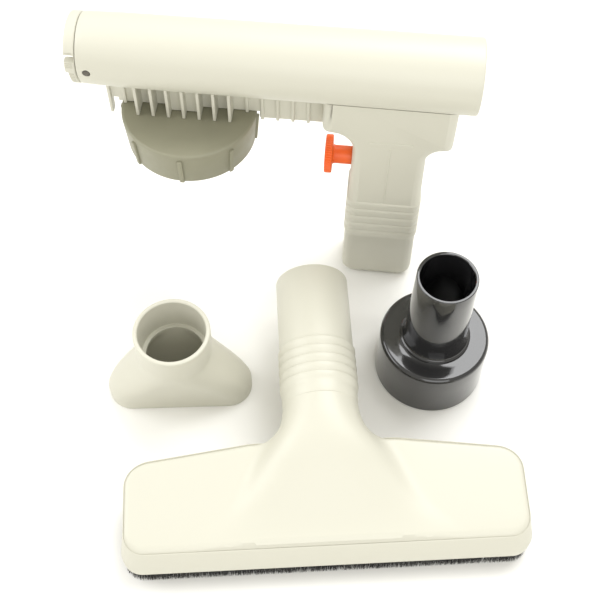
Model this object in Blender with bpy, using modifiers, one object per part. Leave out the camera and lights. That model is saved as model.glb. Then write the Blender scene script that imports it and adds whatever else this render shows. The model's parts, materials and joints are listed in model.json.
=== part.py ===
"""Vacuum cleaner attachment set: a spray gun, a floor brush, an upholstery nozzle and a hose adapter.

The four attachments stand side by side on one table, z = 0. Units are metres, +Z is up.
Each attachment is built in its own local frame and parented to an empty that places it.

Spray gun frame: X runs back along the barrel from its front seam, Y = 0 is the middle plane.
Floor brush frame: X along the head, Y from the head's front edge towards the end of the neck.
Nozzle and adapter frames: Z is the axis of the neck, X along the nozzle's mouth.
"""
import math

import bmesh
import bpy
from mathutils import Matrix, Vector

# ---------------------------------------------------------------- general sizes
GAP = 0.0003              # face to face clearance between touching pieces
ROUND_SEGMENTS = 32       # facets round a large turned piece
MIDDLE_SEGMENTS = 24      # facets round a middling turned piece
SMALL_SEGMENTS = 16       # facets round a small turned piece
CAP_SEGMENTS = 40         # facets round the jar cap, a multiple of its bars
BORE_REACH = 0.004        # how far a cutter runs past the face it opens

# ---------------------------------------------------------------- spray gun: barrel and front ring
BARREL_LENGTH = 0.235
BARREL_FRONT_RADIUS = 0.0210
BARREL_SHOULDER_RADIUS = 0.0217   # where the slight nose-in at the front begins
BARREL_REAR_RADIUS = 0.02265
BARREL_WALL = 0.0025
BARREL_REAR_TAPER = 0.0005        # the bore narrows this much more at the rear
NOSE_LENGTH = 0.025
NOSE_CHAMFER = 0.001
RIM_ROUND = 0.0012
RING_LENGTH = 0.0067
RING_SPIGOT_LENGTH = 0.014
RING_SPIGOT_WALL = 0.0022
RING_NOTCH_WIDTH = 0.0040
RING_NOTCH_ANGLE = math.radians(23)
RING_STEP = 0.0021        # how much shorter the lower part of the ring is
RING_STEP_BELOW_AXIS = 0.0005
RING_CHAMFER = 0.0008
PIN_RADIUS = 0.0021
PIN_SHANK_RADIUS = 0.0015
PIN_SETBACK = 0.0060      # pin centre behind the front seam
PIN_HEAD_PROUD = 0.0003

# ---------------------------------------------------------------- spray gun: grip
GRIP_HEIGHT = 0.123       # table to the start of the front fillet
GRIP_CENTRE = 0.187       # along the barrel
GRIP_WIDTH_BOTTOM = 0.0500
GRIP_WIDTH_TOP = 0.0460
GRIP_THICKNESS = 0.0320
GRIP_CORNER = 0.0090
GRIP_EDGE_ROUND = 0.0060
GRIP_WALL = 0.0025
SLOT_PAST_WALL = 0.0010           # how far the rail's slot runs past the front wall
SHOULDER_FRONT_REACH = 0.0430     # shoulder in front of the grip's centre line
SHOULDER_REAR_REACH = 0.0385
SHOULDER_FRONT_DROP = 0.0435      # shoulder's lower edge below the barrel's axis
SHOULDER_REAR_DROP = 0.0530
FRONT_FILLET = 0.0170
REAR_FILLET = 0.0130
SHOULDER_CORNER = 0.0045
BARREL_CLEAR_HEIGHT = 0.067       # barrel axis above the start of the front fillet

SCREW_RADIUS = 0.0015
SCREW_HEAD_RADIUS = 0.0029
SCREW_HEAD_HEIGHT = 0.0020
SCREW_SUNK = 0.0002               # a head's face below the surface
SCREW_TIP_ROOM = 0.0030           # screw tip off the near wall
SCREW_HOLE_ROOM = 0.0010          # bottom of a blind hole off the near wall
SCREW_SEGMENTS = 12
BOSS_RADIUS = 0.0038
VALVE_TO_BOSS = 0.0040
WALL_TO_BOSS = 0.0020

# ---------------------------------------------------------------- spray gun: trigger
TRIGGER_RADIUS = 0.0125
TRIGGER_PLATE = 0.0050
TRIGGER_CHAMFER = 0.0005
TRIGGER_STEM_RADIUS = 0.0060
TRIGGER_DROP = 0.0783             # trigger axis below the barrel's axis
TRIGGER_STEM_SHOWING = 0.0125     # stem seen between the plate and the grip
TRIGGER_TRAVEL = 0.0090
TRIGGER_CLEARANCE = 0.00015
GUIDE_WALL = 0.0015
GUIDE_LENGTH = 0.0045
GUIDE_SUNK = 0.0006               # the bush's front face behind the grip's
ROD_RADIUS = 0.0025
ROD_CLEARANCE = 0.0002            # rod in the bore of the valve and the seal
ROD_END_ROOM = 0.0010             # rod's end off the bottom of the bore when pushed in
ROD_FLANGE_RADIUS = 0.0074
ROD_FLANGE = 0.0022
SPRING_LENGTH = 0.0182
SPRING_RADIUS = 0.0058
SPRING_WIRE_RADIUS = 0.0006
SPRING_TURNS = 6
SPRING_POINTS_PER_TURN = 10
VALVE_RADIUS = 0.0085
VALVE_LENGTH = 0.0150
VALVE_END_WALL = 0.0015
SEAL_DEPTH = 0.0024
SEAL_RADIUS = 0.0045
VENT_RADIUS = 0.0040
VENT_BORE_RADIUS = 0.0024
VENT_INTO_BARREL = 0.0015

# ---------------------------------------------------------------- spray gun: rib rail and jar cap
RIB_COUNT = 14
RIB_PITCH = 0.00955
RIB_THICKNESS = 0.0019
RIB_FIRST = 0.0105
RIB_HALF_WIDTH = 0.0120
RIB_NARROW_HALF_WIDTH = 0.0028
WIDE_RIBS = range(2, 9)
WEB_THICKNESS = 0.0020
RIB_TOP_SHARE = 0.6               # ribs start this share of the barrel's radius below its axis
RAIL_DROP = 0.0480                # rail's lower edge below the barrel's axis
RAIL_FRONT_DROP = 0.0395          # the shallow front of the web
RAIL_TIP_DROP = 0.0515            # the first rib's longer tip
CAP_SETBACK = 0.0598              # cap axis behind the front seam
CAP_RADIUS = 0.0425
CAP_LOWER_RADIUS = CAP_RADIUS - 0.0017
CAP_HEIGHT = 0.0250
CAP_DROP = 0.0430                 # cap's top below the barrel's axis
CAP_WALL = 0.0024
CAP_DISC = 0.0026
CAP_CHAMFER = 0.0012
CAP_CLEARANCE = 0.0005            # running clearance above the cap
CAP_BARS = 8
CAP_BAR_WIDTH = 0.0030
CAP_BAR_PROUD = 0.0016
CAP_BAR_TOP_MARGIN = 0.0040
GASKET_WIDTH = 0.0080
GASKET_THICKNESS = 0.0020
GASKET_ROOM = 0.0012              # gasket's rim inside the cap's wall
FEED_RADIUS = 0.0034
FEED_BORE_RADIUS = 0.0020
FEED_BEND = 0.0120
FEED_BEND_STEPS = 6
FEED_BELOW_CAP = 0.0140
FEED_BOSS_HALF_WIDTH = 0.0055
RETAINER_RADIUS = 0.0090
RETAINER_HEIGHT = 0.0040
TIP_LENGTH = 0.0200
TIP_RADIUS = 0.0052
TIP_NOSE_RADIUS = 0.0028
TIP_BORE_RADIUS = 0.0012
TIP_TAPER = 0.0080
TIP_SETBACK = 0.0100              # spray tip's nose behind the front seam
TIP_OVERLAP = 0.0080              # feed tube held inside the tip

# ---------------------------------------------------------------- floor brush
HEAD_WIDTH = 0.2520
HEAD_DEPTH = 0.0600               # at the ends
HEAD_BULGE = 0.0100               # extra depth at the middle of the rear edge
HEAD_BULGE_HALF_WIDTH = 0.0450
HEAD_TAPER = 0.0030               # each end narrows by this much towards the rear
HEAD_FRONT_CORNER = 0.0130
HEAD_REAR_CORNER = 0.0180
SKIRT_HEIGHT = 0.0120             # clear of the table: the bristles show below it
CREASE_HEIGHT = 0.0320            # front edge of the top face
ROOF_RISE = 0.0090                # the top face climbs this much towards the rear
HEAD_WALL = 0.0025
HEAD_EDGE_ROUND = 0.0030
HEAD_FRONT_LEAN = 0.0070          # top face's front edge behind the skirt's
HEAD_SIDE_LEAN = 0.0030
HEAD_UPRIGHT = 0.0070             # upright part of the skirt, round the base plate
NECK_LENGTH = 0.1861              # head's front edge to the neck's end
NECK_RADIUS = 0.0241
NECK_WALL = 0.0026
NECK_HEIGHT = 0.0410              # neck axis above the table
FLARE_LENGTH = 0.0270             # neck fillet behind the rear edge of the head
FLARE_BEHIND_HEAD = 0.0040
FLARE_FOOT_RISE = 0.0010          # flare off the skirt's edge and over the roof at its front
FLARE_MIDDLE_RISE = 0.0060
FLARE_BACK_DROP = 0.0020
FLARE_BORE_SHRINK = 0.0005        # flare's wall beyond the head's
BORE_START_SHARE = 0.7            # neck's bore starts this far along the flare
NECK_RINGS = 5
NECK_RING_PITCH = 0.0062
NECK_RING_HEIGHT = 0.0008
RIDGE_SHARE = 0.6                 # a ridge's width as a share of the pitch
NECK_RING_START = 0.0335          # first ring behind the rear edge of the head
BASE_THICKNESS = 0.0030
BASE_RECESS = 0.0030              # underside of the base above the skirt's edge
SLOT_LENGTH = 0.1700
SLOT_WIDTH = 0.0240
SLOT_CORNER = 0.0060
BRISTLE_THICKNESS = 0.0060
BASE_SCREW_X = 0.1020
BASE_SCREW_Y = 0.0200
BASE_SCREW_REACH = 0.0060         # screw tip above the base plate

# ---------------------------------------------------------------- upholstery nozzle
NOZZLE_HEIGHT = 0.0740
NOZZLE_NECK_RADIUS = 0.0243
NOZZLE_BORE_RADIUS = 0.0215
NOZZLE_COLLAR = 0.0190            # height of the collar band
NOZZLE_COLLAR_STEP = 0.0009
NOZZLE_LEDGE_DEPTH = 0.0260       # hose stop below the rim
NOZZLE_THROAT_RADIUS = 0.0188
NOZZLE_MOUTH_WIDTH = 0.0960
NOZZLE_MOUTH_DEPTH = 0.0320
NOZZLE_MOUTH_BAND = 0.0120        # upright part at the mouth
NOZZLE_WALL = 0.0023
NOZZLE_NECK_BELOW_COLLAR = 0.0060
NOZZLE_STEP_RISE = 0.0002         # a step's face slopes by this much
NOZZLE_RIM_CHAMFER = 0.0009
NOZZLE_BORE_TAPER = 0.0004
NOZZLE_LEDGE = 0.0030

# ---------------------------------------------------------------- hose adapter
CUP_BASE_RADIUS = 0.0367
CUP_TOP_RADIUS = 0.0360
CUP_HEIGHT = 0.0400
CUP_EDGE_ROUND = 0.0030
ADAPTER_HEIGHT = 0.1078
ADAPTER_TUBE_BASE_RADIUS = 0.0203
ADAPTER_TUBE_TOP_RADIUS = 0.01907
ADAPTER_WALL = 0.0021
ADAPTER_RING_RADIUS = 0.0232
ADAPTER_RING_HEIGHT = 0.0018
ADAPTER_FILLET = 0.0100
ADAPTER_RIM_CHAMFER = 0.0006

# ---------------------------------------------------------------- where the attachments stand
GUN_YAW = math.radians(-4.6)
BRUSH_YAW = math.radians(4)
NOZZLE_YAW = math.radians(3)
GRIP_TO_NECK_GAP = 0.0359         # brush neck's end in front of the grip's near face
GRIP_TO_BRUSH_OFFSET = 0.0350     # brush's middle to the left of the grip
NECK_TO_ADAPTER_GAP = 0.0183
HEAD_TO_ADAPTER_GAP = 0.0462
NECK_TO_NOZZLE_GAP = 0.0191
HEAD_TO_NOZZLE_GAP = 0.0573

# ---------------------------------------------------------------- derived sizes
BARREL_AXIS = GRIP_HEIGHT + BARREL_CLEAR_HEIGHT
CAP_TOP = BARREL_AXIS - CAP_DROP
TRIGGER_AXIS = BARREL_AXIS - TRIGGER_DROP
GRIP_HALF = GRIP_THICKNESS / 2
SHOULDER_FRONT = GRIP_CENTRE - SHOULDER_FRONT_REACH
SHOULDER_REAR = GRIP_CENTRE + SHOULDER_REAR_REACH
HEAD_HALF = HEAD_WIDTH / 2
HEAD_REAR = HEAD_DEPTH + HEAD_BULGE
FLARE_SECTIONS = (                # place behind the front edge, width as a share of the neck, squareness
    (HEAD_DEPTH * 0.2, 2.6, 3.0),
    (HEAD_DEPTH * 0.6, 2.3, 2.6),
    (HEAD_DEPTH, 1.8, 2.4),
    (HEAD_REAR + FLARE_BEHIND_HEAD, 1.35, 2.2),
    (HEAD_REAR + FLARE_LENGTH * 0.5, 1.08, 2.0),
)
RING_SPIGOT_RADIUS = BARREL_FRONT_RADIUS - BARREL_WALL - GAP
BASE_BOTTOM = SKIRT_HEIGHT + BASE_RECESS

GREY = ("light_grey_plastic", (0.60, 0.59, 0.50), 0.45, 0.0)
GREY_DARKER = ("grey_plastic", (0.48, 0.47, 0.40), 0.50, 0.0)
ORANGE = ("orange_plastic", (0.90, 0.30, 0.07), 0.40, 0.0)
BLACK = ("black_plastic", (0.03, 0.03, 0.03), 0.18, 0.0)
RUBBER = ("black_rubber", (0.05, 0.05, 0.05), 0.75, 0.0)
BRISTLE = ("bristle", (0.05, 0.05, 0.045), 0.80, 0.0)
STEEL = ("steel", (0.60, 0.60, 0.60), 0.30, 1.0)
DARK_STEEL = ("dark_steel", (0.20, 0.20, 0.19), 0.40, 1.0)


# ---------------------------------------------------------------- scene helpers
def clear_scene():
    """Remove every object, so the script builds only its own."""
    for item in list(bpy.data.objects):
        bpy.data.objects.remove(item, do_unlink=True)


def collection(name):
    """The collection of that name, made once."""
    found = bpy.data.collections.get(name)
    if found is None:
        found = bpy.data.collections.new(name)
        bpy.context.scene.collection.children.link(found)
    return found


def parts():
    """Collection of the real pieces."""
    return collection("attachment_set")


def guides():
    """Collection of the cutters and joined-in forms."""
    return collection("cutters")


def place(name, mesh, home, parent):
    """Link a mesh as an object under its attachment's empty."""
    item = bpy.data.objects.new(name, mesh)
    home.objects.link(item)
    item.parent = parent
    return item


def paint(item, look):
    """Give a piece its own Principled material."""
    name, colour, roughness, metallic = look
    material = bpy.data.materials.new(item.name + "_" + name)
    material.use_nodes = True
    shader = material.node_tree.nodes["Principled BSDF"]
    shader.inputs["Base Color"].default_value = (*colour, 1.0)
    shader.inputs["Roughness"].default_value = roughness
    shader.inputs["Metallic"].default_value = metallic
    item.data.materials.clear()
    item.data.materials.append(material)
    return item


def as_guide(item):
    """Keep a cutter or a joined-in form out of the model."""
    for home in list(item.users_collection):
        home.objects.unlink(item)
    guides().objects.link(item)
    item.hide_render = True
    item.display_type = "WIRE"
    return item


def boolean(item, other, operation):
    """Add an exact Boolean with another form."""
    step = item.modifiers.new(operation.lower(), "BOOLEAN")
    step.operation = operation
    step.solver = "EXACT"
    step.object = as_guide(other)
    return item


def cut(item, *others):
    """Cut other forms out of a piece."""
    for other in others:
        boolean(item, other, "DIFFERENCE")
    return item


def join(item, *others):
    """Fuse other forms into a piece."""
    for other in others:
        boolean(item, other, "UNION")
    return item


def empty(name, x, y, yaw):
    """An empty that stands one attachment on the table."""
    item = bpy.data.objects.new(name, None)
    bpy.context.scene.collection.objects.link(item)
    item.location = (x, y, 0.0)
    item.rotation_euler = (0.0, 0.0, yaw)
    return item


# ---------------------------------------------------------------- outlines
def corner_reaches(corners):
    """How far each corner's arc runs along its edges; neighbours share a short edge between them."""
    count = len(corners)
    places = [Vector(corner[:2]) for corner in corners]
    reaches = []
    for index, (x, y, radius) in enumerate(corners):
        before = places[index - 1] - places[index]
        after = places[(index + 1) % count] - places[index]
        reaches.append(radius / math.tan(before.angle(after) / 2))
    limited = []
    for index in range(count):
        room = [1.0]
        for other in (index - 1, (index + 1) % count):
            length = (places[other] - places[index]).length
            room.append(0.98 * length / max(reaches[index] + reaches[other], 1e-9))
        limited.append(reaches[index] * min(room))
    return limited


def rounded(corners, steps=5):
    """Outline points of a polygon whose corners (x, y, radius) are rounded with arcs."""
    points = []
    count = len(corners)
    for index, reach in enumerate(corner_reaches(corners)):
        here = Vector(corners[index][:2])
        if reach <= 0.0:
            points.append(here)
            continue
        before = (Vector(corners[index - 1][:2]) - here).normalized()
        after = (Vector(corners[(index + 1) % count][:2]) - here).normalized()
        half = before.angle(after) / 2
        middle = here + (before + after).normalized() * (reach / math.cos(half))
        start = here + before * reach - middle
        sweep = start.angle_signed(here + after * reach - middle)
        for step in range(steps + 1):
            points.append(middle + Matrix.Rotation(-sweep * step / steps, 2) @ start)
    return points


def inset(corners, amount):
    """The same polygon, anticlockwise, with every edge moved inwards and its radii to match."""
    moved = []
    count = len(corners)
    for index, (x, y, radius) in enumerate(corners):
        here = Vector((x, y))
        into = (here - Vector(corners[index - 1][:2])).normalized()
        away = (Vector(corners[(index + 1) % count][:2]) - here).normalized()
        left_in = Vector((-into.y, into.x))
        left_out = Vector((-away.y, away.x))
        bisector = (left_in + left_out).normalized()
        corner = here + bisector * (amount / bisector.dot(left_in))
        convex = into.x * away.y - into.y * away.x > 0
        new_radius = max(radius - amount, 0.0004) if convex else radius + amount
        moved.append((corner.x, corner.y, new_radius if radius > 0 else 0.0))
    return moved


def slab(name, outlines, low, high, axis, parent):
    """A flat plate from filled outlines, between two heights along Y or Z.

    An outline for axis Z is in X and Y; an outline for axis Y is in X and Z.
    """
    curve = bpy.data.curves.new(name + "_outline", "CURVE")
    curve.dimensions = "2D"
    curve.fill_mode = "BOTH"
    curve.extrude = (high - low) / 2
    for outline in outlines:
        spline = curve.splines.new("POLY")
        spline.points.add(len(outline) - 1)
        for point, (x, y) in zip(spline.points, outline):
            point.co = (x, y, 0.0, 1.0)
        spline.use_cyclic_u = True
    mesh = mesh_of_curve(name, curve)
    mesh.transform(Matrix.Translation((0, 0, (low + high) / 2)))
    if axis == "Y":
        mesh.transform(Matrix(((1, 0, 0, 0), (0, 0, 1, 0), (0, 1, 0, 0), (0, 0, 0, 1))))
        mesh.flip_normals()
    return place(name, mesh, parts(), parent)


def mesh_of_curve(name, curve, threshold=0.00001):
    """Turn curve data into a welded mesh with outward faces."""
    holder = bpy.data.objects.new(name + "_curve", curve)
    bpy.context.scene.collection.objects.link(holder)
    view = bpy.context.evaluated_depsgraph_get()
    mesh = bpy.data.meshes.new_from_object(holder.evaluated_get(view))
    bpy.data.objects.remove(holder, do_unlink=True)
    work = bmesh.new()
    work.from_mesh(mesh)
    bmesh.ops.remove_doubles(work, verts=work.verts, dist=threshold)
    flat = [edge for edge in work.edges if edge.is_manifold and edge.calc_face_angle(1.0) < 0.0001]
    bmesh.ops.dissolve_edges(work, edges=flat, use_verts=False)
    bmesh.ops.recalc_face_normals(work, faces=work.faces)
    work.to_mesh(mesh)
    work.free()
    mesh.name = name
    return mesh


# ---------------------------------------------------------------- solids
def turned(name, profile, parent, segments=ROUND_SEGMENTS, centre=(0, 0, 0), axis="Z"):
    """A turned piece from a closed profile of (radius, height) points.

    The profile runs down the outer side from the top, then up the inner side.
    """
    mesh = bpy.data.meshes.new(name)
    count = len(profile)
    closed = profile[0][0] > 0 or profile[-1][0] > 0
    edges = [(index, index + 1) for index in range(count - 1)]
    if closed:
        edges.append((count - 1, 0))
    mesh.from_pydata([(radius, 0.0, height) for radius, height in profile], edges, [])
    item = place(name, mesh, parts(), parent)
    item.location = centre
    if axis == "X":
        item.rotation_euler = (0.0, math.pi / 2, 0.0)
    if axis == "Y":
        item.rotation_euler = (-math.pi / 2, 0.0, 0.0)
    screw = item.modifiers.new("turn", "SCREW")
    screw.axis = "Z"
    screw.steps = segments
    screw.render_steps = segments
    screw.use_merge_vertices = True
    screw.merge_threshold = 0.00001
    return item


def rod(name, radius, low, high, parent, segments=SMALL_SEGMENTS, centre=(0, 0, 0), axis="Z"):
    """A plain solid cylinder between two heights on its axis."""
    work = bmesh.new()
    bmesh.ops.create_cone(work, cap_ends=True, segments=segments, radius1=radius, radius2=radius,
                          depth=high - low, matrix=Matrix.Translation((0, 0, (low + high) / 2)))
    mesh = bpy.data.meshes.new(name)
    work.to_mesh(mesh)
    work.free()
    item = place(name, mesh, parts(), parent)
    item.location = centre
    if axis == "X":
        item.rotation_euler = (0.0, math.pi / 2, 0.0)
    if axis == "Y":
        item.rotation_euler = (-math.pi / 2, 0.0, 0.0)
    return item


def box(name, low, high, parent):
    """A block between two corners."""
    work = bmesh.new()
    bmesh.ops.create_cube(work, size=1.0)
    size = [b - a for a, b in zip(low, high)]
    middle = [(a + b) / 2 for a, b in zip(low, high)]
    stretch = Matrix.Translation(middle) @ Matrix.Diagonal((*size, 1))
    bmesh.ops.transform(work, verts=work.verts, matrix=stretch)
    mesh = bpy.data.meshes.new(name)
    work.to_mesh(mesh)
    work.free()
    return place(name, mesh, parts(), parent)


def group(name, pieces, parent):
    """One object made of separate solids, such as a set of screws."""
    view = bpy.context.evaluated_depsgraph_get()
    work = bmesh.new()
    for piece in pieces:
        mesh = bpy.data.meshes.new_from_object(piece.evaluated_get(view))
        mesh.transform(Matrix.LocRotScale(piece.location, piece.rotation_euler, None))
        work.from_mesh(mesh)
        bpy.data.meshes.remove(mesh)
    mesh = bpy.data.meshes.new(name)
    work.to_mesh(mesh)
    work.free()
    for piece in pieces:
        bpy.data.objects.remove(piece, do_unlink=True)
    return place(name, mesh, parts(), parent)


def loft(name, sections, parent, ring=False):
    """A solid through closed sections of equal count; a ring also joins the last to the first."""
    work = bmesh.new()
    rows = [[work.verts.new(point) for point in section] for section in sections]
    pairs = list(zip(rows, rows[1:]))
    if ring:
        pairs.append((rows[-1], rows[0]))
    for lower, upper in pairs:
        count = len(lower)
        for index in range(count):
            after = (index + 1) % count
            work.faces.new((lower[index], lower[after], upper[after], upper[index]))
    if not ring:
        work.faces.new(list(reversed(rows[0])))
        work.faces.new(rows[-1])
    bmesh.ops.recalc_face_normals(work, faces=work.faces)
    mesh = bpy.data.meshes.new(name)
    work.to_mesh(mesh)
    work.free()
    return place(name, mesh, parts(), parent)


def rounded_levels(start, end, radius, steps=3):
    """Levels (position, inset) of a plate from a square edge at start to a rounded edge at end."""
    sign = 1 if end > start else -1
    levels = [(start, 0.0)]
    for step in range(steps + 1):
        angle = math.pi / 2 * step / steps
        levels.append((end - sign * radius * (1 - math.sin(angle)), radius * (1 - math.cos(angle))))
    return levels


def cushion(name, corners, levels, parent):
    """A plate whose outline, in X and Z, draws in at each level (position along Y, inset)."""
    sections = [[(x, level, z) for x, z in rounded(inset(corners, amount))] for level, amount in levels]
    return loft(name, sections, parent)


def countersunk_screw(name, head_at, tip_at, centre, parent, axis="Y", radius=SCREW_RADIUS):
    """A small screw with a flat-topped head."""
    sign = 1 if tip_at > head_at else -1
    under = head_at + sign * SCREW_HEAD_HEIGHT
    profile = [(0.0, tip_at), (radius, tip_at), (radius, under), (SCREW_HEAD_RADIUS, under),
               (SCREW_HEAD_RADIUS, head_at), (0.0, head_at)]
    if sign < 0:
        profile.reverse()
    return turned(name, profile, parent, segments=SCREW_SEGMENTS, centre=centre, axis=axis)


# ---------------------------------------------------------------- spray gun: barrel
def barrel_radius(along):
    """Outer radius of the barrel at a place behind the front seam."""
    if along < NOSE_LENGTH:
        share = max(along, 0.0) / NOSE_LENGTH
        return BARREL_FRONT_RADIUS + (BARREL_SHOULDER_RADIUS - BARREL_FRONT_RADIUS) * share
    share = (along - NOSE_LENGTH) / (BARREL_LENGTH - NOSE_LENGTH)
    return BARREL_SHOULDER_RADIUS + (BARREL_REAR_RADIUS - BARREL_SHOULDER_RADIUS) * share


def barrel_clearance(name, parent):
    """The barrel's outer form, a gap larger, for cutting what touches it."""
    profile = [(0.0, BARREL_LENGTH + BORE_REACH),
               (BARREL_REAR_RADIUS + GAP, BARREL_LENGTH + BORE_REACH),
               (BARREL_REAR_RADIUS + GAP, BARREL_LENGTH),
               (BARREL_SHOULDER_RADIUS + GAP, NOSE_LENGTH),
               (BARREL_FRONT_RADIUS + GAP, 0.0),
               (BARREL_FRONT_RADIUS + GAP, -BORE_REACH),
               (0.0, -BORE_REACH)]
    return turned(name, profile, parent, centre=(0, 0, BARREL_AXIS), axis="X")


def build_barrel(gun):
    """The air tube, open at both ends."""
    length = BARREL_LENGTH
    profile = [(BARREL_REAR_RADIUS - RIM_ROUND, length),
               (BARREL_REAR_RADIUS - RIM_ROUND * 0.3, length - RIM_ROUND * 0.3),
               (BARREL_REAR_RADIUS, length - RIM_ROUND),
               (BARREL_SHOULDER_RADIUS, NOSE_LENGTH),
               (BARREL_FRONT_RADIUS, NOSE_CHAMFER),
               (BARREL_FRONT_RADIUS - NOSE_CHAMFER, 0.0),
               (BARREL_FRONT_RADIUS - BARREL_WALL, 0.0),
               (BARREL_SHOULDER_RADIUS - BARREL_WALL, NOSE_LENGTH),
               (BARREL_REAR_RADIUS - BARREL_WALL - BARREL_REAR_TAPER, length)]
    barrel = turned("barrel", profile, gun, centre=(0, 0, BARREL_AXIS), axis="X")
    hole = rod("pin_holes", PIN_RADIUS + GAP, -2 * BARREL_REAR_RADIUS, 2 * BARREL_REAR_RADIUS, gun,
               centre=(PIN_SETBACK, 0, BARREL_AXIS), axis="Y")
    feed = rod("feed_hole", FEED_RADIUS + GAP, BARREL_AXIS - 2 * BARREL_REAR_RADIUS, BARREL_AXIS, gun,
               centre=(CAP_SETBACK, 0, 0))
    vent = rod("vent_hole", VENT_RADIUS + GAP, BARREL_AXIS - 2 * BARREL_REAR_RADIUS, BARREL_AXIS, gun,
               centre=(vent_place(), 0, 0))
    cut(barrel, hole, feed, vent)
    return paint(barrel, GREY)


def build_front_ring(gun):
    """The bezel ring at the mouth of the barrel, with the spigot that holds it."""
    bore = RING_SPIGOT_RADIUS - RING_SPIGOT_WALL
    profile = [(RING_SPIGOT_RADIUS, RING_SPIGOT_LENGTH),
               (RING_SPIGOT_RADIUS, -GAP),
               (BARREL_FRONT_RADIUS, -GAP),
               (BARREL_FRONT_RADIUS, -RING_LENGTH + RING_CHAMFER),
               (BARREL_FRONT_RADIUS - RING_CHAMFER, -RING_LENGTH),
               (bore, -RING_LENGTH),
               (bore, RING_SPIGOT_LENGTH)]
    ring = turned("front_ring", profile, gun, centre=(0, 0, BARREL_AXIS), axis="X")
    notch_height = BARREL_AXIS + math.sin(RING_NOTCH_ANGLE) * BARREL_FRONT_RADIUS
    past_mouth = -RING_LENGTH - BORE_REACH
    past_side = 2 * BARREL_FRONT_RADIUS
    notch = box("ring_notch", (past_mouth, -past_side, notch_height - RING_NOTCH_WIDTH / 2),
                (-2 * GAP, -bore * 0.5, notch_height + RING_NOTCH_WIDTH / 2), gun)
    step = box("ring_step", (past_mouth, -past_side, BARREL_AXIS - past_side),
               (-RING_LENGTH + RING_STEP, past_side, BARREL_AXIS - RING_STEP_BELOW_AXIS), gun)
    holes = rod("ring_pin_holes", PIN_SHANK_RADIUS + GAP, -past_side, past_side, gun,
                centre=(PIN_SETBACK, 0, BARREL_AXIS), axis="Y")
    cut(ring, notch, step, holes)
    return paint(ring, GREY)


def build_front_pins(gun):
    """Two small pins that lock the front ring into the barrel, one from each side."""
    outer = barrel_radius(PIN_SETBACK) + PIN_HEAD_PROUD
    seat = RING_SPIGOT_RADIUS + GAP
    inner = RING_SPIGOT_RADIUS - RING_SPIGOT_WALL
    profile = [(0.0, -inner), (PIN_SHANK_RADIUS, -inner), (PIN_SHANK_RADIUS, -seat),
               (PIN_RADIUS, -seat), (PIN_RADIUS, -outer), (0.0, -outer)]
    for name, turn in (("front_pin_near", -math.pi / 2), ("front_pin_far", math.pi / 2)):
        pin = turned(name, profile, gun, segments=SMALL_SEGMENTS,
                     centre=(PIN_SETBACK, 0, BARREL_AXIS), axis="Y")
        pin.rotation_euler = (turn, 0.0, 0.0)
        paint(pin, DARK_STEEL)


# ---------------------------------------------------------------- spray gun: grip
def grip_corners():
    """Side outline of the grip and shoulder, anticlockwise in X and Z."""
    half_bottom = GRIP_WIDTH_BOTTOM / 2
    half_top = GRIP_WIDTH_TOP / 2
    top = BARREL_AXIS
    front_edge = BARREL_AXIS - SHOULDER_FRONT_DROP
    rear_edge = BARREL_AXIS - SHOULDER_REAR_DROP
    return [(GRIP_CENTRE - half_bottom, 0.0, GRIP_CORNER),
            (GRIP_CENTRE + half_bottom, 0.0, GRIP_CORNER),
            (GRIP_CENTRE + half_top, rear_edge, REAR_FILLET),
            (SHOULDER_REAR, rear_edge, SHOULDER_CORNER),
            (SHOULDER_REAR, top, 0.0),
            (SHOULDER_FRONT, top, 0.0),
            (SHOULDER_FRONT, front_edge, SHOULDER_CORNER),
            (GRIP_CENTRE - half_top, front_edge, FRONT_FILLET)]


def grip_front(height):
    """Place of the grip's front face at a height above the table."""
    share = height / (BARREL_AXIS - SHOULDER_FRONT_DROP)
    half = (GRIP_WIDTH_BOTTOM + (GRIP_WIDTH_TOP - GRIP_WIDTH_BOTTOM) * share) / 2
    return GRIP_CENTRE - half


def screw_places():
    """The four screws that close the grip, as (along, height)."""
    low = GRIP_CORNER + BOSS_RADIUS
    middle = TRIGGER_AXIS - VALVE_RADIUS - BOSS_RADIUS - VALVE_TO_BOSS
    high_front = BARREL_AXIS - SHOULDER_FRONT_DROP + SHOULDER_CORNER + BOSS_RADIUS
    high_rear = BARREL_AXIS - SHOULDER_REAR_DROP + SHOULDER_CORNER + BOSS_RADIUS
    in_from_side = GRIP_WALL + BOSS_RADIUS + WALL_TO_BOSS
    return [(GRIP_CENTRE, low), (GRIP_CENTRE, middle),
            (SHOULDER_FRONT + in_from_side, high_front),
            (SHOULDER_REAR - in_from_side, high_rear)]


def circle(middle, radius, steps=SCREW_SEGMENTS):
    """Outline points of a circle."""
    return [Vector(middle) + radius * Vector((math.cos(2 * math.pi * step / steps),
                                              math.sin(2 * math.pi * step / steps)))
            for step in range(steps)]


def screw_hole_form(name, side, gun):
    """The four screw holes: blind in the near half, through and recessed for the heads in the far half."""
    hole = SCREW_RADIUS + GAP
    sink = SCREW_HEAD_RADIUS + GAP
    sink_floor = GRIP_HALF - SCREW_HEAD_HEIGHT - 2 * GAP
    if side < 0:
        bottom = GRIP_WALL + SCREW_HOLE_ROOM - GRIP_HALF
        profile = [(0.0, BORE_REACH), (hole, BORE_REACH), (hole, bottom), (0.0, bottom)]
    else:
        profile = [(0.0, GRIP_HALF + BORE_REACH), (sink, GRIP_HALF + BORE_REACH), (sink, sink_floor),
                   (hole, sink_floor), (hole, -BORE_REACH), (0.0, -BORE_REACH)]
    holes = [turned(name, profile, gun, segments=SCREW_SEGMENTS, centre=(along, 0, height), axis="Y")
             for along, height in screw_places()]
    return group(name, holes, gun)


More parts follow.
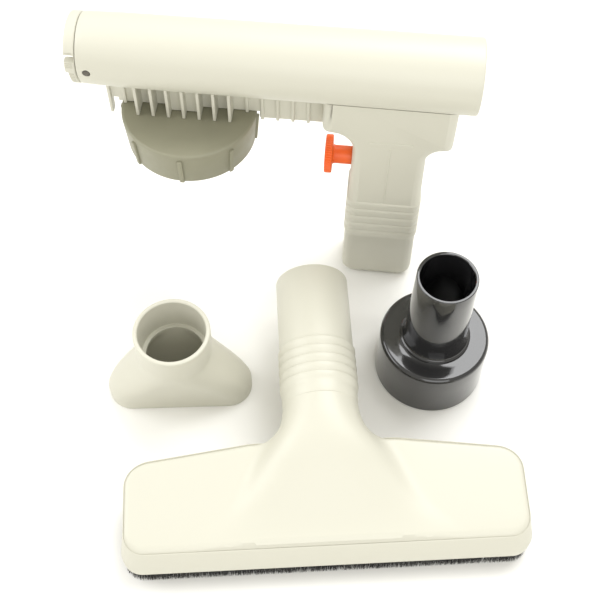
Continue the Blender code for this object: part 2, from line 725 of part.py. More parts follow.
def build_grip_shell(gun, name, side):
    """One half of the grip; side is -1 for the near half and +1 for the far half."""
    face = side * GRIP_HALF
    seam = side * GAP / 2
    shell = cushion(name, grip_corners(), rounded_levels(seam, face, GRIP_EDGE_ROUND), gun)
    inner_face = face - side * GRIP_WALL
    past_seam = seam - side * BORE_REACH
    bosses = [circle(place, BOSS_RADIUS) for place in screw_places()]
    pocket = slab(name + "_pocket", [rounded(inset(grip_corners(), GRIP_WALL))] + bosses,
                  min(inner_face, past_seam), max(inner_face, past_seam), "Y", gun)
    cut(shell, pocket)
    cut(shell, barrel_clearance(name + "_barrel_seat", gun))
    cut(shell, screw_hole_form(name + "_screw_holes", side, gun))
    guide_hole = rod(name + "_guide_hole", TRIGGER_STEM_RADIUS + TRIGGER_CLEARANCE + GUIDE_WALL + GAP,
                     SHOULDER_FRONT, grip_front(TRIGGER_AXIS) + GRIP_WALL + BORE_REACH, gun,
                     segments=MIDDLE_SEGMENTS, centre=(0, 0, TRIGGER_AXIS), axis="X")
    cut(shell, guide_hole)
    half_slot = WEB_THICKNESS / 2 + GAP
    rail_slot = box(name + "_rail_slot", (SHOULDER_FRONT - BORE_REACH, -half_slot, rail_low() - GAP),
                    (SHOULDER_FRONT + GRIP_WALL + SLOT_PAST_WALL, half_slot, BARREL_AXIS), gun)
    cut(shell, rail_slot)
    return paint(shell, GREY)


def build_grip_screws(gun):
    """Four screws, put in from the far side of the grip."""
    for index, (along, height) in enumerate(screw_places()):
        screw = countersunk_screw(f"grip_screw_{index + 1}", GRIP_HALF - SCREW_SUNK,
                                  -GRIP_HALF + GRIP_WALL + SCREW_TIP_ROOM, (along, 0, height), gun)
        paint(screw, STEEL)


# ---------------------------------------------------------------- spray gun: trigger and valve
def guide_start():
    """Front end of the trigger's guide bush, just inside the grip's front face."""
    return grip_front(TRIGGER_AXIS) + GUIDE_SUNK


def rod_start():
    """Front face of the rod's flange, behind the guide bush."""
    return guide_start() + GUIDE_LENGTH + GAP


def spring_start():
    """Front end of the trigger spring."""
    return rod_start() + ROD_FLANGE + GAP


def valve_start():
    """Front face of the valve body."""
    return spring_start() + SPRING_LENGTH + GAP


def vent_place():
    """The vent pipe rises from the middle of the valve body."""
    return valve_start() + VALVE_LENGTH * 0.55


def build_trigger(gun):
    """The round push plate on its stem; its origin is on the axis it slides along."""
    plate_front = grip_front(TRIGGER_AXIS) - TRIGGER_STEM_SHOWING - TRIGGER_PLATE
    plate_rear = plate_front + TRIGGER_PLATE
    profile = [(0.0, rod_start() - GAP),
               (TRIGGER_STEM_RADIUS, rod_start() - GAP),
               (TRIGGER_STEM_RADIUS, plate_rear),
               (TRIGGER_RADIUS - TRIGGER_CHAMFER, plate_rear),
               (TRIGGER_RADIUS, plate_rear - TRIGGER_CHAMFER),
               (TRIGGER_RADIUS, plate_front + TRIGGER_CHAMFER),
               (TRIGGER_RADIUS - TRIGGER_CHAMFER, plate_front),
               (0.0, plate_front)]
    trigger = turned("trigger_button", profile, gun, centre=(0, 0, TRIGGER_AXIS), axis="X")
    return paint(trigger, ORANGE)


def build_trigger_rod(gun):
    """The rod behind the stem; its flange keeps the trigger in the guide."""
    start = rod_start()
    end = valve_start() + VALVE_LENGTH - VALVE_END_WALL - TRIGGER_TRAVEL - ROD_END_ROOM
    profile = [(0.0, end), (ROD_RADIUS, end), (ROD_RADIUS, start + ROD_FLANGE),
               (ROD_FLANGE_RADIUS, start + ROD_FLANGE), (ROD_FLANGE_RADIUS, start), (0.0, start)]
    item = turned("trigger_rod", profile, gun, segments=SMALL_SEGMENTS,
                  centre=(0, 0, TRIGGER_AXIS), axis="X")
    return paint(item, GREY_DARKER)


def build_trigger_guide(gun):
    """The bush in the grip's front wall that the stem slides in."""
    start = guide_start()
    end = start + GUIDE_LENGTH
    bore = TRIGGER_STEM_RADIUS + TRIGGER_CLEARANCE
    profile = [(bore + GUIDE_WALL, end), (bore + GUIDE_WALL, start), (bore, start), (bore, end)]
    item = turned("trigger_guide", profile, gun, segments=MIDDLE_SEGMENTS, centre=(0, 0, TRIGGER_AXIS),
                  axis="X")
    return paint(item, GREY_DARKER)


def build_trigger_spring(gun):
    """The coil spring that pushes the trigger back out."""
    curve = bpy.data.curves.new("trigger_spring_path", "CURVE")
    curve.dimensions = "3D"
    curve.bevel_depth = SPRING_WIRE_RADIUS
    curve.bevel_resolution = 1
    curve.use_fill_caps = True
    spline = curve.splines.new("POLY")
    steps = SPRING_TURNS * SPRING_POINTS_PER_TURN
    spline.points.add(steps)
    for step in range(steps + 1):
        angle = 2 * math.pi * step / SPRING_POINTS_PER_TURN
        along = SPRING_WIRE_RADIUS + (SPRING_LENGTH - 2 * SPRING_WIRE_RADIUS) * step / steps
        across, up = SPRING_RADIUS * math.cos(angle), SPRING_RADIUS * math.sin(angle)
        spline.points[step].co = (along, across, up, 1)
    item = place("trigger_spring", mesh_of_curve("trigger_spring", curve), parts(), gun)
    item.location = (spring_start(), 0, TRIGGER_AXIS)
    return paint(item, STEEL)


def build_valve(gun):
    """The valve block behind the spring, with a blind bore for the rod and a vent port."""
    start = valve_start()
    end = start + VALVE_LENGTH
    bore = ROD_RADIUS + ROD_CLEARANCE
    profile = [(0.0, end), (VALVE_RADIUS, end), (VALVE_RADIUS, start), (SEAL_RADIUS + GAP, start),
               (SEAL_RADIUS + GAP, start + SEAL_DEPTH), (bore, start + SEAL_DEPTH),
               (bore, end - VALVE_END_WALL), (0.0, end - VALVE_END_WALL)]
    body = turned("valve_body", profile, gun, segments=MIDDLE_SEGMENTS, centre=(0, 0, TRIGGER_AXIS),
                  axis="X")
    port = rod("valve_port", VENT_BORE_RADIUS, TRIGGER_AXIS, TRIGGER_AXIS + VALVE_RADIUS + BORE_REACH, gun,
               segments=SCREW_SEGMENTS, centre=(vent_place(), 0, 0))
    cut(body, port)
    paint(body, GREY_DARKER)
    ring = [(SEAL_RADIUS, start + SEAL_DEPTH - GAP), (SEAL_RADIUS, start + GAP),
            (ROD_RADIUS + ROD_CLEARANCE, start + GAP), (ROD_RADIUS + ROD_CLEARANCE, start + SEAL_DEPTH - GAP)]
    seal = turned("valve_seal", ring, gun, segments=SMALL_SEGMENTS, centre=(0, 0, TRIGGER_AXIS),
                  axis="X")
    paint(seal, RUBBER)
    low = TRIGGER_AXIS + VALVE_RADIUS + GAP
    high = BARREL_AXIS - barrel_radius(vent_place()) + BARREL_WALL + VENT_INTO_BARREL
    tube = [(VENT_RADIUS, high), (VENT_RADIUS, low), (VENT_BORE_RADIUS, low), (VENT_BORE_RADIUS, high)]
    pipe = turned("vent_pipe", tube, gun, segments=SMALL_SEGMENTS, centre=(vent_place(), 0, 0))
    paint(pipe, GREY_DARKER)


# ---------------------------------------------------------------- spray gun: rib rail
def rail_low():
    """Height of the rail's lower edge."""
    return BARREL_AXIS - RAIL_DROP


def rib_place(index):
    """Centre of a rib behind the front seam."""
    return RIB_FIRST + index * RIB_PITCH


def bay_half_width(index):
    """Half the web between a rib and the next one, wider wherever the feed hole comes near."""
    reach = FEED_RADIUS + GAP + WEB_THICKNESS
    if rib_place(index) < CAP_SETBACK + reach and rib_place(index + 1) > CAP_SETBACK - reach:
        return FEED_BOSS_HALF_WIDTH
    return WEB_THICKNESS / 2


def rail_outline():
    """Plan of the web with its ribs, anticlockwise in X and Y."""
    half_rib = RIB_THICKNESS / 2
    side = []
    for index in range(RIB_COUNT):
        along = rib_place(index)
        wide = RIB_HALF_WIDTH if index in WIDE_RIBS else RIB_NARROW_HALF_WIDTH
        if index > 0:
            side.append((along - half_rib, min(bay_half_width(index - 1), wide)))
        side.append((along - half_rib, wide))
        side.append((along + half_rib, wide))
        side.append((along + half_rib, min(bay_half_width(index), wide)))
    side.append((SHOULDER_FRONT + GRIP_WALL, WEB_THICKNESS / 2))
    far = [Vector(point) for point in side]
    near = [Vector((x, -y)) for x, y in side]
    outline = near + list(reversed(far))
    return [point for index, point in enumerate(outline) if (point - outline[index - 1]).length > 1e-6]


def build_rail(gun):
    """The ribbed rail under the barrel that carries the jar cap."""
    top = BARREL_AXIS - BARREL_FRONT_RADIUS * RIB_TOP_SHARE
    rail = slab("rib_rail", [rail_outline()], BARREL_AXIS - RAIL_TIP_DROP, top, "Z", gun)
    behind_tip = rib_place(0) + RIB_THICKNESS / 2
    cap_front = CAP_SETBACK - CAP_RADIUS - CAP_BAR_PROUD
    cap_rear = CAP_SETBACK + CAP_RADIUS + CAP_BAR_PROUD
    wide = 2 * RIB_HALF_WIDTH
    low = BARREL_AXIS - RAIL_TIP_DROP - BORE_REACH
    front_relief = box("rail_front_relief", (behind_tip, -wide, low),
                       (cap_front, wide, BARREL_AXIS - RAIL_FRONT_DROP), gun)
    cap_relief = box("rail_cap_relief", (cap_front - GAP, -wide, low),
                     (cap_rear + GAP, wide, CAP_TOP + CAP_CLEARANCE), gun)
    rear_relief = box("rail_rear_relief", (CAP_SETBACK + CAP_RADIUS, -wide, low),
                      (SHOULDER_REAR, wide, rail_low()), gun)
    feed = rod("rail_feed_hole", FEED_RADIUS + GAP, low, BARREL_AXIS, gun, centre=(CAP_SETBACK, 0, 0))
    cut(rail, barrel_clearance("rail_barrel_seat", gun), front_relief, cap_relief, rear_relief, feed)
    return paint(rail, GREY)


# ---------------------------------------------------------------- spray gun: jar cap
def build_cap(gun):
    """The screw cap that holds the jar, on its own upright axis."""
    top = 0.0
    bottom = -CAP_HEIGHT
    hole = FEED_RADIUS + GAP
    profile = [(hole, top), (CAP_RADIUS - CAP_CHAMFER, top), (CAP_RADIUS, top - CAP_CHAMFER),
               (CAP_LOWER_RADIUS, bottom), (CAP_LOWER_RADIUS - CAP_WALL, bottom),
               (CAP_RADIUS - CAP_WALL, top - CAP_DISC), (hole, top - CAP_DISC)]
    cap = turned("jar_cap", profile, gun, segments=CAP_SEGMENTS, centre=(CAP_SETBACK, 0, CAP_TOP))
    bars = []
    for index in range(CAP_BARS):
        bar = box("cap_bar", (CAP_LOWER_RADIUS - CAP_WALL / 2, -CAP_BAR_WIDTH / 2, bottom),
                  (CAP_RADIUS + CAP_BAR_PROUD, CAP_BAR_WIDTH / 2, top - CAP_BAR_TOP_MARGIN), gun)
        bar.rotation_euler = (0, 0, 2 * math.pi * index / CAP_BARS)
        bars.append(bar)
    bpy.context.view_layer.update()
    knurl = group("cap_bars", bars, gun)
    knurl.location = (CAP_SETBACK, 0, CAP_TOP)
    join(cap, knurl)
    paint(cap, GREY)
    low = CAP_TOP - CAP_DISC - GAP - GASKET_THICKNESS
    outer = CAP_RADIUS - CAP_WALL - GASKET_ROOM
    ring = [(outer, low + GASKET_THICKNESS), (outer, low), (outer - GASKET_WIDTH, low),
            (outer - GASKET_WIDTH, low + GASKET_THICKNESS)]
    gasket = turned("cap_gasket", ring, gun, centre=(CAP_SETBACK, 0, 0))
    paint(gasket, RUBBER)


def build_feed(gun):
    """The liquid pipe from the jar, up through the cap and forward to the spray tip, and its retainer."""
    low = CAP_TOP - CAP_DISC - FEED_BELOW_CAP
    end = TIP_SETBACK + TIP_LENGTH - TIP_OVERLAP
    pipe = place("feed_pipe", feed_mesh("feed_pipe", FEED_RADIUS, low, end), parts(), gun)
    bore = place("feed_bore", feed_mesh("feed_bore", FEED_BORE_RADIUS, low - BORE_REACH, end - BORE_REACH),
                 parts(), gun)
    cut(pipe, bore)
    paint(pipe, GREY_DARKER)
    top = CAP_TOP - CAP_DISC - CAP_CLEARANCE
    ring = [(RETAINER_RADIUS, top), (RETAINER_RADIUS, top - RETAINER_HEIGHT),
            (FEED_RADIUS + GAP, top - RETAINER_HEIGHT), (FEED_RADIUS + GAP, top)]
    retainer = turned("cap_retainer", ring, gun, segments=MIDDLE_SEGMENTS, centre=(CAP_SETBACK, 0, 0))
    paint(retainer, GREY_DARKER)
    nose = TIP_SETBACK
    back = nose + TIP_LENGTH
    profile = [(TIP_RADIUS, back), (TIP_RADIUS, nose + TIP_TAPER), (TIP_NOSE_RADIUS, nose),
               (TIP_BORE_RADIUS, nose), (TIP_BORE_RADIUS, back - TIP_OVERLAP - GAP),
               (FEED_RADIUS + GAP, back - TIP_OVERLAP - GAP), (FEED_RADIUS + GAP, back)]
    tip = turned("spray_tip", profile, gun, segments=MIDDLE_SEGMENTS, centre=(0, 0, BARREL_AXIS),
                 axis="X")
    paint(tip, ORANGE)


def feed_mesh(name, radius, low, end):
    """A pipe that rises from the jar and bends forward along the barrel's axis."""
    curve = bpy.data.curves.new(name + "_path", "CURVE")
    curve.dimensions = "3D"
    curve.bevel_depth = radius
    curve.bevel_resolution = 2
    curve.use_fill_caps = True
    points = [(CAP_SETBACK, 0, low)]
    for step in range(FEED_BEND_STEPS + 1):
        angle = math.pi / 2 * step / FEED_BEND_STEPS
        points.append((CAP_SETBACK - FEED_BEND * (1 - math.cos(angle)), 0,
                       BARREL_AXIS - FEED_BEND * (1 - math.sin(angle))))
    points.append((end, 0, BARREL_AXIS))
    spline = curve.splines.new("POLY")
    spline.points.add(len(points) - 1)
    for target, point in zip(spline.points, points):
        target.co = (*point, 1.0)
    return mesh_of_curve(name, curve)


# ---------------------------------------------------------------- floor brush
def head_corners():
    """Plan of the brush head, anticlockwise."""
    rear_half = HEAD_HALF - HEAD_TAPER
    return [(-HEAD_HALF, 0.0, HEAD_FRONT_CORNER),
            (HEAD_HALF, 0.0, HEAD_FRONT_CORNER),
            (rear_half, HEAD_DEPTH, HEAD_REAR_CORNER),
            (HEAD_BULGE_HALF_WIDTH, HEAD_REAR, 0.0),
            (-HEAD_BULGE_HALF_WIDTH, HEAD_REAR, 0.0),
            (-rear_half, HEAD_DEPTH, HEAD_REAR_CORNER)]


def head_top_corners():
    """Plan of the head's top face, drawn in from the skirt at the front and the front corners."""
    half = HEAD_HALF - HEAD_SIDE_LEAN
    front = [(side * half, HEAD_FRONT_LEAN, HEAD_FRONT_CORNER) for side in (-1, 1)]
    return front + head_corners()[2:]


def roof_height(y):
    """Height of the head's top face at a place behind its front edge."""
    return CREASE_HEIGHT + ROOF_RISE * y / HEAD_DEPTH


def head_form(name, brush, shrink, low, edge_round):
    """A solid with an upright skirt, a leaning front and a sloping top whose edge is rounded."""
    foot = rounded(inset(head_corners(), shrink))
    sections = [[(x, y, height) for x, y in foot] for height in (low, SKIRT_HEIGHT + HEAD_UPRIGHT)]
    for below_roof, amount in rounded_levels(HEAD_DEPTH, 0.0, edge_round)[1:]:
        outline = rounded(inset(head_top_corners(), shrink + amount))
        sections.append([(x, y, roof_height(y) - shrink - below_roof) for x, y in outline])
    return loft(name, sections, brush)


def oval(y, half_width, low, high, power, count=24):
    """A closed section across the brush, between a circle (power 2) and a block."""
    section = []
    for index in range(count):
        angle = 2 * math.pi * (index + 0.5) / count
        across = math.copysign(abs(math.cos(angle)) ** (2 / power), math.cos(angle))
        up = math.copysign(abs(math.sin(angle)) ** (2 / power), math.sin(angle))
        section.append((half_width * across, y, (low + high) / 2 + (high - low) / 2 * up))
    return section


def flare_form(name, brush, shrink):
    """The blend between the head and its neck."""
    radius = NECK_RADIUS - shrink
    low = NECK_HEIGHT - radius
    high = NECK_HEIGHT + radius
    base = SKIRT_HEIGHT + FLARE_FOOT_RISE + shrink
    under = (base, base, base, low * 0.8 + base * 0.2, low, low)
    over = (roof_height(HEAD_DEPTH * 0.2) + FLARE_FOOT_RISE - shrink,
            roof_height(HEAD_DEPTH) + FLARE_MIDDLE_RISE - shrink,
            high - FLARE_MIDDLE_RISE, high - FLARE_BACK_DROP, high, high)
    sections = []
    for (y, widening, power), below, above in zip(FLARE_SECTIONS, under, over):
        sections.append(oval(y, NECK_RADIUS * widening - shrink, below, above, power))
    sections.append(oval(HEAD_REAR + FLARE_LENGTH, radius, low, high, 2.0))
    return loft(name, sections, brush)


def neck_profile():
    """Outer side of the neck from its end down into the head, with the ring ridges."""
    profile = [(0.0, NECK_LENGTH), (NECK_RADIUS - RIM_ROUND, NECK_LENGTH),
               (NECK_RADIUS, NECK_LENGTH - RIM_ROUND)]
    half_ridge = NECK_RING_PITCH * RIDGE_SHARE / 2
    for index in reversed(range(NECK_RINGS)):
        middle = HEAD_REAR + NECK_RING_START + index * NECK_RING_PITCH
        profile.append((NECK_RADIUS, middle + half_ridge))
        profile.append((NECK_RADIUS + NECK_RING_HEIGHT, middle))
        profile.append((NECK_RADIUS, middle - half_ridge))
    profile.append((NECK_RADIUS, HEAD_DEPTH))
    profile.append((0.0, HEAD_DEPTH))
    return profile


def base_screw_places():
    """Four screws between the base plate and the housing, as (x, y)."""
    return [(side * BASE_SCREW_X, y) for side in (-1, 1) for y in (BASE_SCREW_Y, HEAD_DEPTH - BASE_SCREW_Y)]


def build_brush_housing(brush):
    """The brush's moulded head and neck, hollow from the mouth to the neck's end."""
    housing = head_form("brush_housing", brush, 0.0, SKIRT_HEIGHT, HEAD_EDGE_ROUND)
    neck = turned("neck_form", neck_profile(), brush, centre=(0, 0, NECK_HEIGHT), axis="Y")
    join(housing, flare_form("flare_form", brush, 0.0), neck)
    cavity = head_form("head_cavity", brush, HEAD_WALL, SKIRT_HEIGHT - BORE_REACH,
                       HEAD_EDGE_ROUND - HEAD_WALL)
    bore = rod("neck_bore", NECK_RADIUS - NECK_WALL, HEAD_REAR + FLARE_LENGTH * BORE_START_SHARE,
               NECK_LENGTH + BORE_REACH, brush, segments=ROUND_SEGMENTS, centre=(0, 0, NECK_HEIGHT), axis="Y")
    cut(housing, cavity, flare_form("flare_bore", brush, HEAD_WALL + FLARE_BORE_SHRINK), bore)
    for x, y in base_screw_places():
        boss = rod("base_boss", BOSS_RADIUS, BASE_BOTTOM + BASE_THICKNESS + GAP,
                   roof_height(y) - HEAD_WALL / 2, brush, segments=SCREW_SEGMENTS, centre=(x, y, 0))
        join(housing, boss)
    for x, y in base_screw_places():
        hole = rod("base_boss_hole", SCREW_RADIUS + GAP, SKIRT_HEIGHT,
                   roof_height(y) - HEAD_WALL - SCREW_TIP_ROOM, brush, segments=SCREW_SEGMENTS,
                   centre=(x, y, 0))
        cut(housing, hole)
    return paint(housing, GREY)


def build_brush_base(brush):
    """The plate inside the skirt: it carries the bristles and leaves the suction slot."""
    outline = rounded(inset(head_corners(), HEAD_WALL + GAP))
    middle = (HEAD_DEPTH + HEAD_BULGE / 2) / 2
    base = slab("brush_base", [outline], BASE_BOTTOM, BASE_BOTTOM + BASE_THICKNESS, "Z", brush)
    left, right = -SLOT_LENGTH / 2, SLOT_LENGTH / 2
    front, rear = middle - SLOT_WIDTH / 2, middle + SLOT_WIDTH / 2
    slot_corners = [(left, front, SLOT_CORNER), (right, front, SLOT_CORNER),
                    (right, rear, SLOT_CORNER), (left, rear, SLOT_CORNER)]
    low, high = BASE_BOTTOM - BORE_REACH, BASE_BOTTOM + BASE_THICKNESS + BORE_REACH
    cut(base, slab("base_slot", [rounded(slot_corners)], low, high, "Z", brush))
    for x, y in base_screw_places():
        hole = rod("base_hole", SCREW_RADIUS + GAP, low, high, brush, segments=SCREW_SEGMENTS,
                   centre=(x, y, 0))
        cut(base, hole)
    paint(base, GREY_DARKER)
    for index, (x, y) in enumerate(base_screw_places()):
        screw = countersunk_screw(f"base_screw_{index + 1}", BASE_BOTTOM - GAP - SCREW_HEAD_HEIGHT,
                                  BASE_BOTTOM + BASE_THICKNESS + BASE_SCREW_REACH, (x, y, 0), brush,
                                  axis="Z")
        paint(screw, STEEL)


def build_bristles(brush):
    """The dark bristle strip under the skirt's edge, in a front and a rear length."""
    outer = rounded(inset(head_corners(), HEAD_WALL + GAP))
    inner = rounded(inset(head_corners(), HEAD_WALL + GAP + BRISTLE_THICKNESS))
    split = HEAD_DEPTH / 2
    reach = HEAD_HALF + BORE_REACH
    for name, low, high in (("bristle_front", split - GAP / 2, HEAD_REAR + BORE_REACH),
                            ("bristle_rear", -BORE_REACH, split + GAP / 2)):
        strip = slab(name, [outer, inner], 0.0, BASE_BOTTOM - GAP, "Z", brush)
        rest = box(name + "_rest", (-reach, low, -BORE_REACH),
                   (reach, high, BASE_BOTTOM + BORE_REACH), brush)
        cut(strip, rest)
        paint(strip, BRISTLE)


# ---------------------------------------------------------------- upholstery nozzle
def stadium(z, half_width, half_depth, count=32):
    """A level section with round ends; equal halves make a circle."""
    section = []
    shift = half_width - half_depth
    for index in range(count):
        angle = 2 * math.pi * (index + 0.5) / count
        x = half_depth * math.cos(angle) + math.copysign(shift, math.cos(angle))
        section.append((x, half_depth * math.sin(angle), z))
    return section


def build_nozzle(nozzle):
    """The nozzle: a round neck that flares to a wide flat mouth."""
    half = NOZZLE_MOUTH_WIDTH / 2
    depth = NOZZLE_MOUTH_DEPTH / 2
    neck = NOZZLE_NECK_RADIUS
    under = neck - NOZZLE_COLLAR_STEP
    collar = NOZZLE_HEIGHT - NOZZLE_COLLAR
    ledge = NOZZLE_HEIGHT - NOZZLE_LEDGE_DEPTH
    wall = NOZZLE_WALL
    outer = [stadium(0.0, half, depth),
             stadium(NOZZLE_MOUTH_BAND, half, depth),
             stadium(collar - NOZZLE_NECK_BELOW_COLLAR, under, under),
             stadium(collar, under, under),
             stadium(collar + NOZZLE_STEP_RISE, neck, neck),
             stadium(NOZZLE_HEIGHT - NOZZLE_RIM_CHAMFER, neck, neck),
             stadium(NOZZLE_HEIGHT, neck - NOZZLE_RIM_CHAMFER, neck - NOZZLE_RIM_CHAMFER)]
    inner = [stadium(NOZZLE_HEIGHT, NOZZLE_BORE_RADIUS, NOZZLE_BORE_RADIUS),
             stadium(ledge, NOZZLE_BORE_RADIUS - NOZZLE_BORE_TAPER, NOZZLE_BORE_RADIUS - NOZZLE_BORE_TAPER),
             stadium(ledge - NOZZLE_STEP_RISE, NOZZLE_THROAT_RADIUS, NOZZLE_THROAT_RADIUS),
             stadium(ledge - NOZZLE_LEDGE, NOZZLE_THROAT_RADIUS, NOZZLE_THROAT_RADIUS),
             stadium(NOZZLE_MOUTH_BAND, half - wall, depth - wall),
             stadium(0.0, half - wall, depth - wall)]
    body = loft("upholstery_nozzle", outer + inner, nozzle, ring=True)
    return paint(body, GREY)


# ---------------------------------------------------------------- hose adapter
def build_adapter(adapter):
    """The black adapter: a wide cup under a narrower tube, open right through."""
    steps = 4
    profile = [(ADAPTER_TUBE_TOP_RADIUS - ADAPTER_RIM_CHAMFER, ADAPTER_HEIGHT),
               (ADAPTER_TUBE_TOP_RADIUS, ADAPTER_HEIGHT - ADAPTER_RIM_CHAMFER)]
    seat = CUP_HEIGHT + ADAPTER_RING_HEIGHT
    reach = ADAPTER_RING_RADIUS - ADAPTER_TUBE_BASE_RADIUS
    for step in range(steps + 1):
        angle = math.pi / 2 * step / steps
        profile.append((ADAPTER_RING_RADIUS - reach * math.cos(angle),
                        seat + ADAPTER_FILLET * (1 - math.sin(angle))))
    profile.append((ADAPTER_RING_RADIUS, CUP_HEIGHT))
    for step in range(steps + 1):
        angle = math.pi / 2 * step / steps
        profile.append((CUP_TOP_RADIUS - CUP_EDGE_ROUND * (1 - math.sin(angle)),
                        CUP_HEIGHT - CUP_EDGE_ROUND * (1 - math.cos(angle))))
    profile.append((CUP_BASE_RADIUS, 0.0))
    profile.append((CUP_BASE_RADIUS - ADAPTER_WALL, 0.0))
    profile.append((CUP_TOP_RADIUS - ADAPTER_WALL, CUP_HEIGHT - ADAPTER_WALL - CUP_EDGE_ROUND))
    profile.append((CUP_TOP_RADIUS - ADAPTER_WALL - CUP_EDGE_ROUND, CUP_HEIGHT - ADAPTER_WALL))
    profile.append((ADAPTER_TUBE_BASE_RADIUS - ADAPTER_WALL, CUP_HEIGHT - ADAPTER_WALL))
    profile.append((ADAPTER_TUBE_TOP_RADIUS - ADAPTER_WALL, ADAPTER_HEIGHT))
    body = turned("hose_adapter", profile, adapter, segments=ROUND_SEGMENTS)
    return paint(body, BLACK)


# ---------------------------------------------------------------- layout
def build_gun():
    """The spray gun, upright on the end of its grip."""
    gun = empty("spray_gun", 0.0, 0.0, GUN_YAW)
    build_barrel(gun)
    build_front_ring(gun)
    build_front_pins(gun)
    build_rail(gun)
    build_feed(gun)
    build_cap(gun)
    build_grip_shell(gun, "grip_shell_near", -1)
    build_grip_shell(gun, "grip_shell_far", 1)
    build_grip_screws(gun)
    build_trigger(gun)
    build_trigger_rod(gun)
    build_trigger_guide(gun)
    build_trigger_spring(gun)
    build_valve(gun)
    return gun


def build_brush(gun_grip):
    """The floor brush, in front of the gun with its neck pointing at the grip."""
    y = gun_grip.y - GRIP_HALF - GRIP_TO_NECK_GAP - NECK_LENGTH * math.cos(BRUSH_YAW)
    brush = empty("floor_brush", gun_grip.x - GRIP_TO_BRUSH_OFFSET, y, BRUSH_YAW)
    build_brush_housing(brush)
    build_brush_base(brush)
    build_bristles(brush)
    return brush


def beside_brush(brush, side, half_width, half_depth, neck_gap, head_gap):
    """A place beside the brush's neck and behind its head, clear of both."""
    across = side * (NECK_RADIUS + neck_gap + half_width)
    behind = HEAD_DEPTH + head_gap + half_depth
    turn = Matrix.Rotation(BRUSH_YAW, 2)
    return Vector(brush.location[:2]) + turn @ Vector((across, behind))


def centre_on_origin(empties):
    """Move the whole set so that its box stands centred on the origin."""
    bpy.context.view_layer.update()
    view = bpy.context.evaluated_depsgraph_get()
    corners = []
    for item in parts().objects:
        evaluated = item.evaluated_get(view)
        mesh = evaluated.to_mesh()
        corners.extend(evaluated.matrix_world @ vert.co for vert in mesh.vertices)
        evaluated.to_mesh_clear()
    shift_x = -(min(c.x for c in corners) + max(c.x for c in corners)) / 2
    shift_y = -(min(c.y for c in corners) + max(c.y for c in corners)) / 2
    for item in empties:
        item.location.x += shift_x
        item.location.y += shift_y
    bpy.context.view_layer.update()


def main():
    """Build the four attachments and stand them on the origin."""
    clear_scene()
    gun = build_gun()
    gun_grip = Matrix.Rotation(GUN_YAW, 3, "Z") @ Vector((GRIP_CENTRE, 0.0, 0.0))
    brush = build_brush(gun_grip)
    adapter_at = beside_brush(brush, 1, CUP_BASE_RADIUS, CUP_BASE_RADIUS, NECK_TO_ADAPTER_GAP,
                              HEAD_TO_ADAPTER_GAP)
    adapter = empty("adapter", adapter_at.x, adapter_at.y, 0.0)
    build_adapter(adapter)
    nozzle_at = beside_brush(brush, -1, NOZZLE_MOUTH_WIDTH / 2, NOZZLE_MOUTH_DEPTH / 2,
                             NECK_TO_NOZZLE_GAP, HEAD_TO_NOZZLE_GAP)
    nozzle = empty("nozzle", nozzle_at.x, nozzle_at.y, NOZZLE_YAW)
    build_nozzle(nozzle)
    centre_on_origin([gun, brush, adapter, nozzle])


main()
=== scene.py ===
"""Looks for the vacuum cleaner attachment set: spray gun, floor brush, upholstery nozzle and hose adapter."""
import json
import math
import random

import bmesh
import bpy
import numpy as np
from bpy.props import FloatProperty, FloatVectorProperty, IntProperty, PointerProperty
from mathutils import Matrix, Vector

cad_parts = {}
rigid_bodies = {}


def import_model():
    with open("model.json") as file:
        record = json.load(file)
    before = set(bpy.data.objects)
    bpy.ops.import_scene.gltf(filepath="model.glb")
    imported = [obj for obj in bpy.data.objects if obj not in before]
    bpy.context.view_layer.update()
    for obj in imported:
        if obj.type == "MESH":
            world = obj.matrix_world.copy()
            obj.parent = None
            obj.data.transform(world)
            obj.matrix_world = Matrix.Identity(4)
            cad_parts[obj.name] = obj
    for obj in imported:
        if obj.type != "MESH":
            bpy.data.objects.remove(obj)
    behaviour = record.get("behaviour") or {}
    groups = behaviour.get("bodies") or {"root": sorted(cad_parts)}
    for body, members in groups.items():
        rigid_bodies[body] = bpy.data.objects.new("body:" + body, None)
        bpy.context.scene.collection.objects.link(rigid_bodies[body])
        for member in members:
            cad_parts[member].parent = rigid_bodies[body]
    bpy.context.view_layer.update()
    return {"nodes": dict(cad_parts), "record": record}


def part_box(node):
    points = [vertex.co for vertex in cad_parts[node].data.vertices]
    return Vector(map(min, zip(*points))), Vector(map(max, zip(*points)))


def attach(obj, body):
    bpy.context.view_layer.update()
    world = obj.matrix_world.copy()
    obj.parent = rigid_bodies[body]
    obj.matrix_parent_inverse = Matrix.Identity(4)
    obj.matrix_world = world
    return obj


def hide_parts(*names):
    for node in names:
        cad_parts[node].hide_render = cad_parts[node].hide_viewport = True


bl_info = {
    "name": "Vacuum attachment set",
    "version": (1, 0, 0),
    "blender": (4, 5, 0),
    "location": "View3D > Sidebar > Attachments",
    "description": "Models the spray gun, floor brush, nozzle and adapter of a vacuum cleaner",
    "category": "Object",
}

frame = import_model()
NODES = frame["nodes"]
HAIR = 0.0003        # clearance between touching pieces
WELD = 1e-6          # points nearer than this are one


# ---------------------------------------------------------------- where the attachments stand
def mount(name):
    """Place and direction of one of the record's interfaces."""
    found = next(m for m in frame["record"]["mounts"] if m["name"] == name)
    return Vector(found["pos_m"]), Vector(found["axis"])


def middle(node):
    """Centre of a CAD node's box."""
    low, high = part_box(node)
    return (low + high) / 2


def local_box(node, matrix):
    """Lowest and highest corner of a CAD node in a frame of its own."""
    points = [matrix.inverted() @ vert.co for vert in NODES[node].data.vertices]
    return (Vector([min(p[i] for p in points) for i in range(3)]),
            Vector([max(p[i] for p in points) for i in range(3)]))


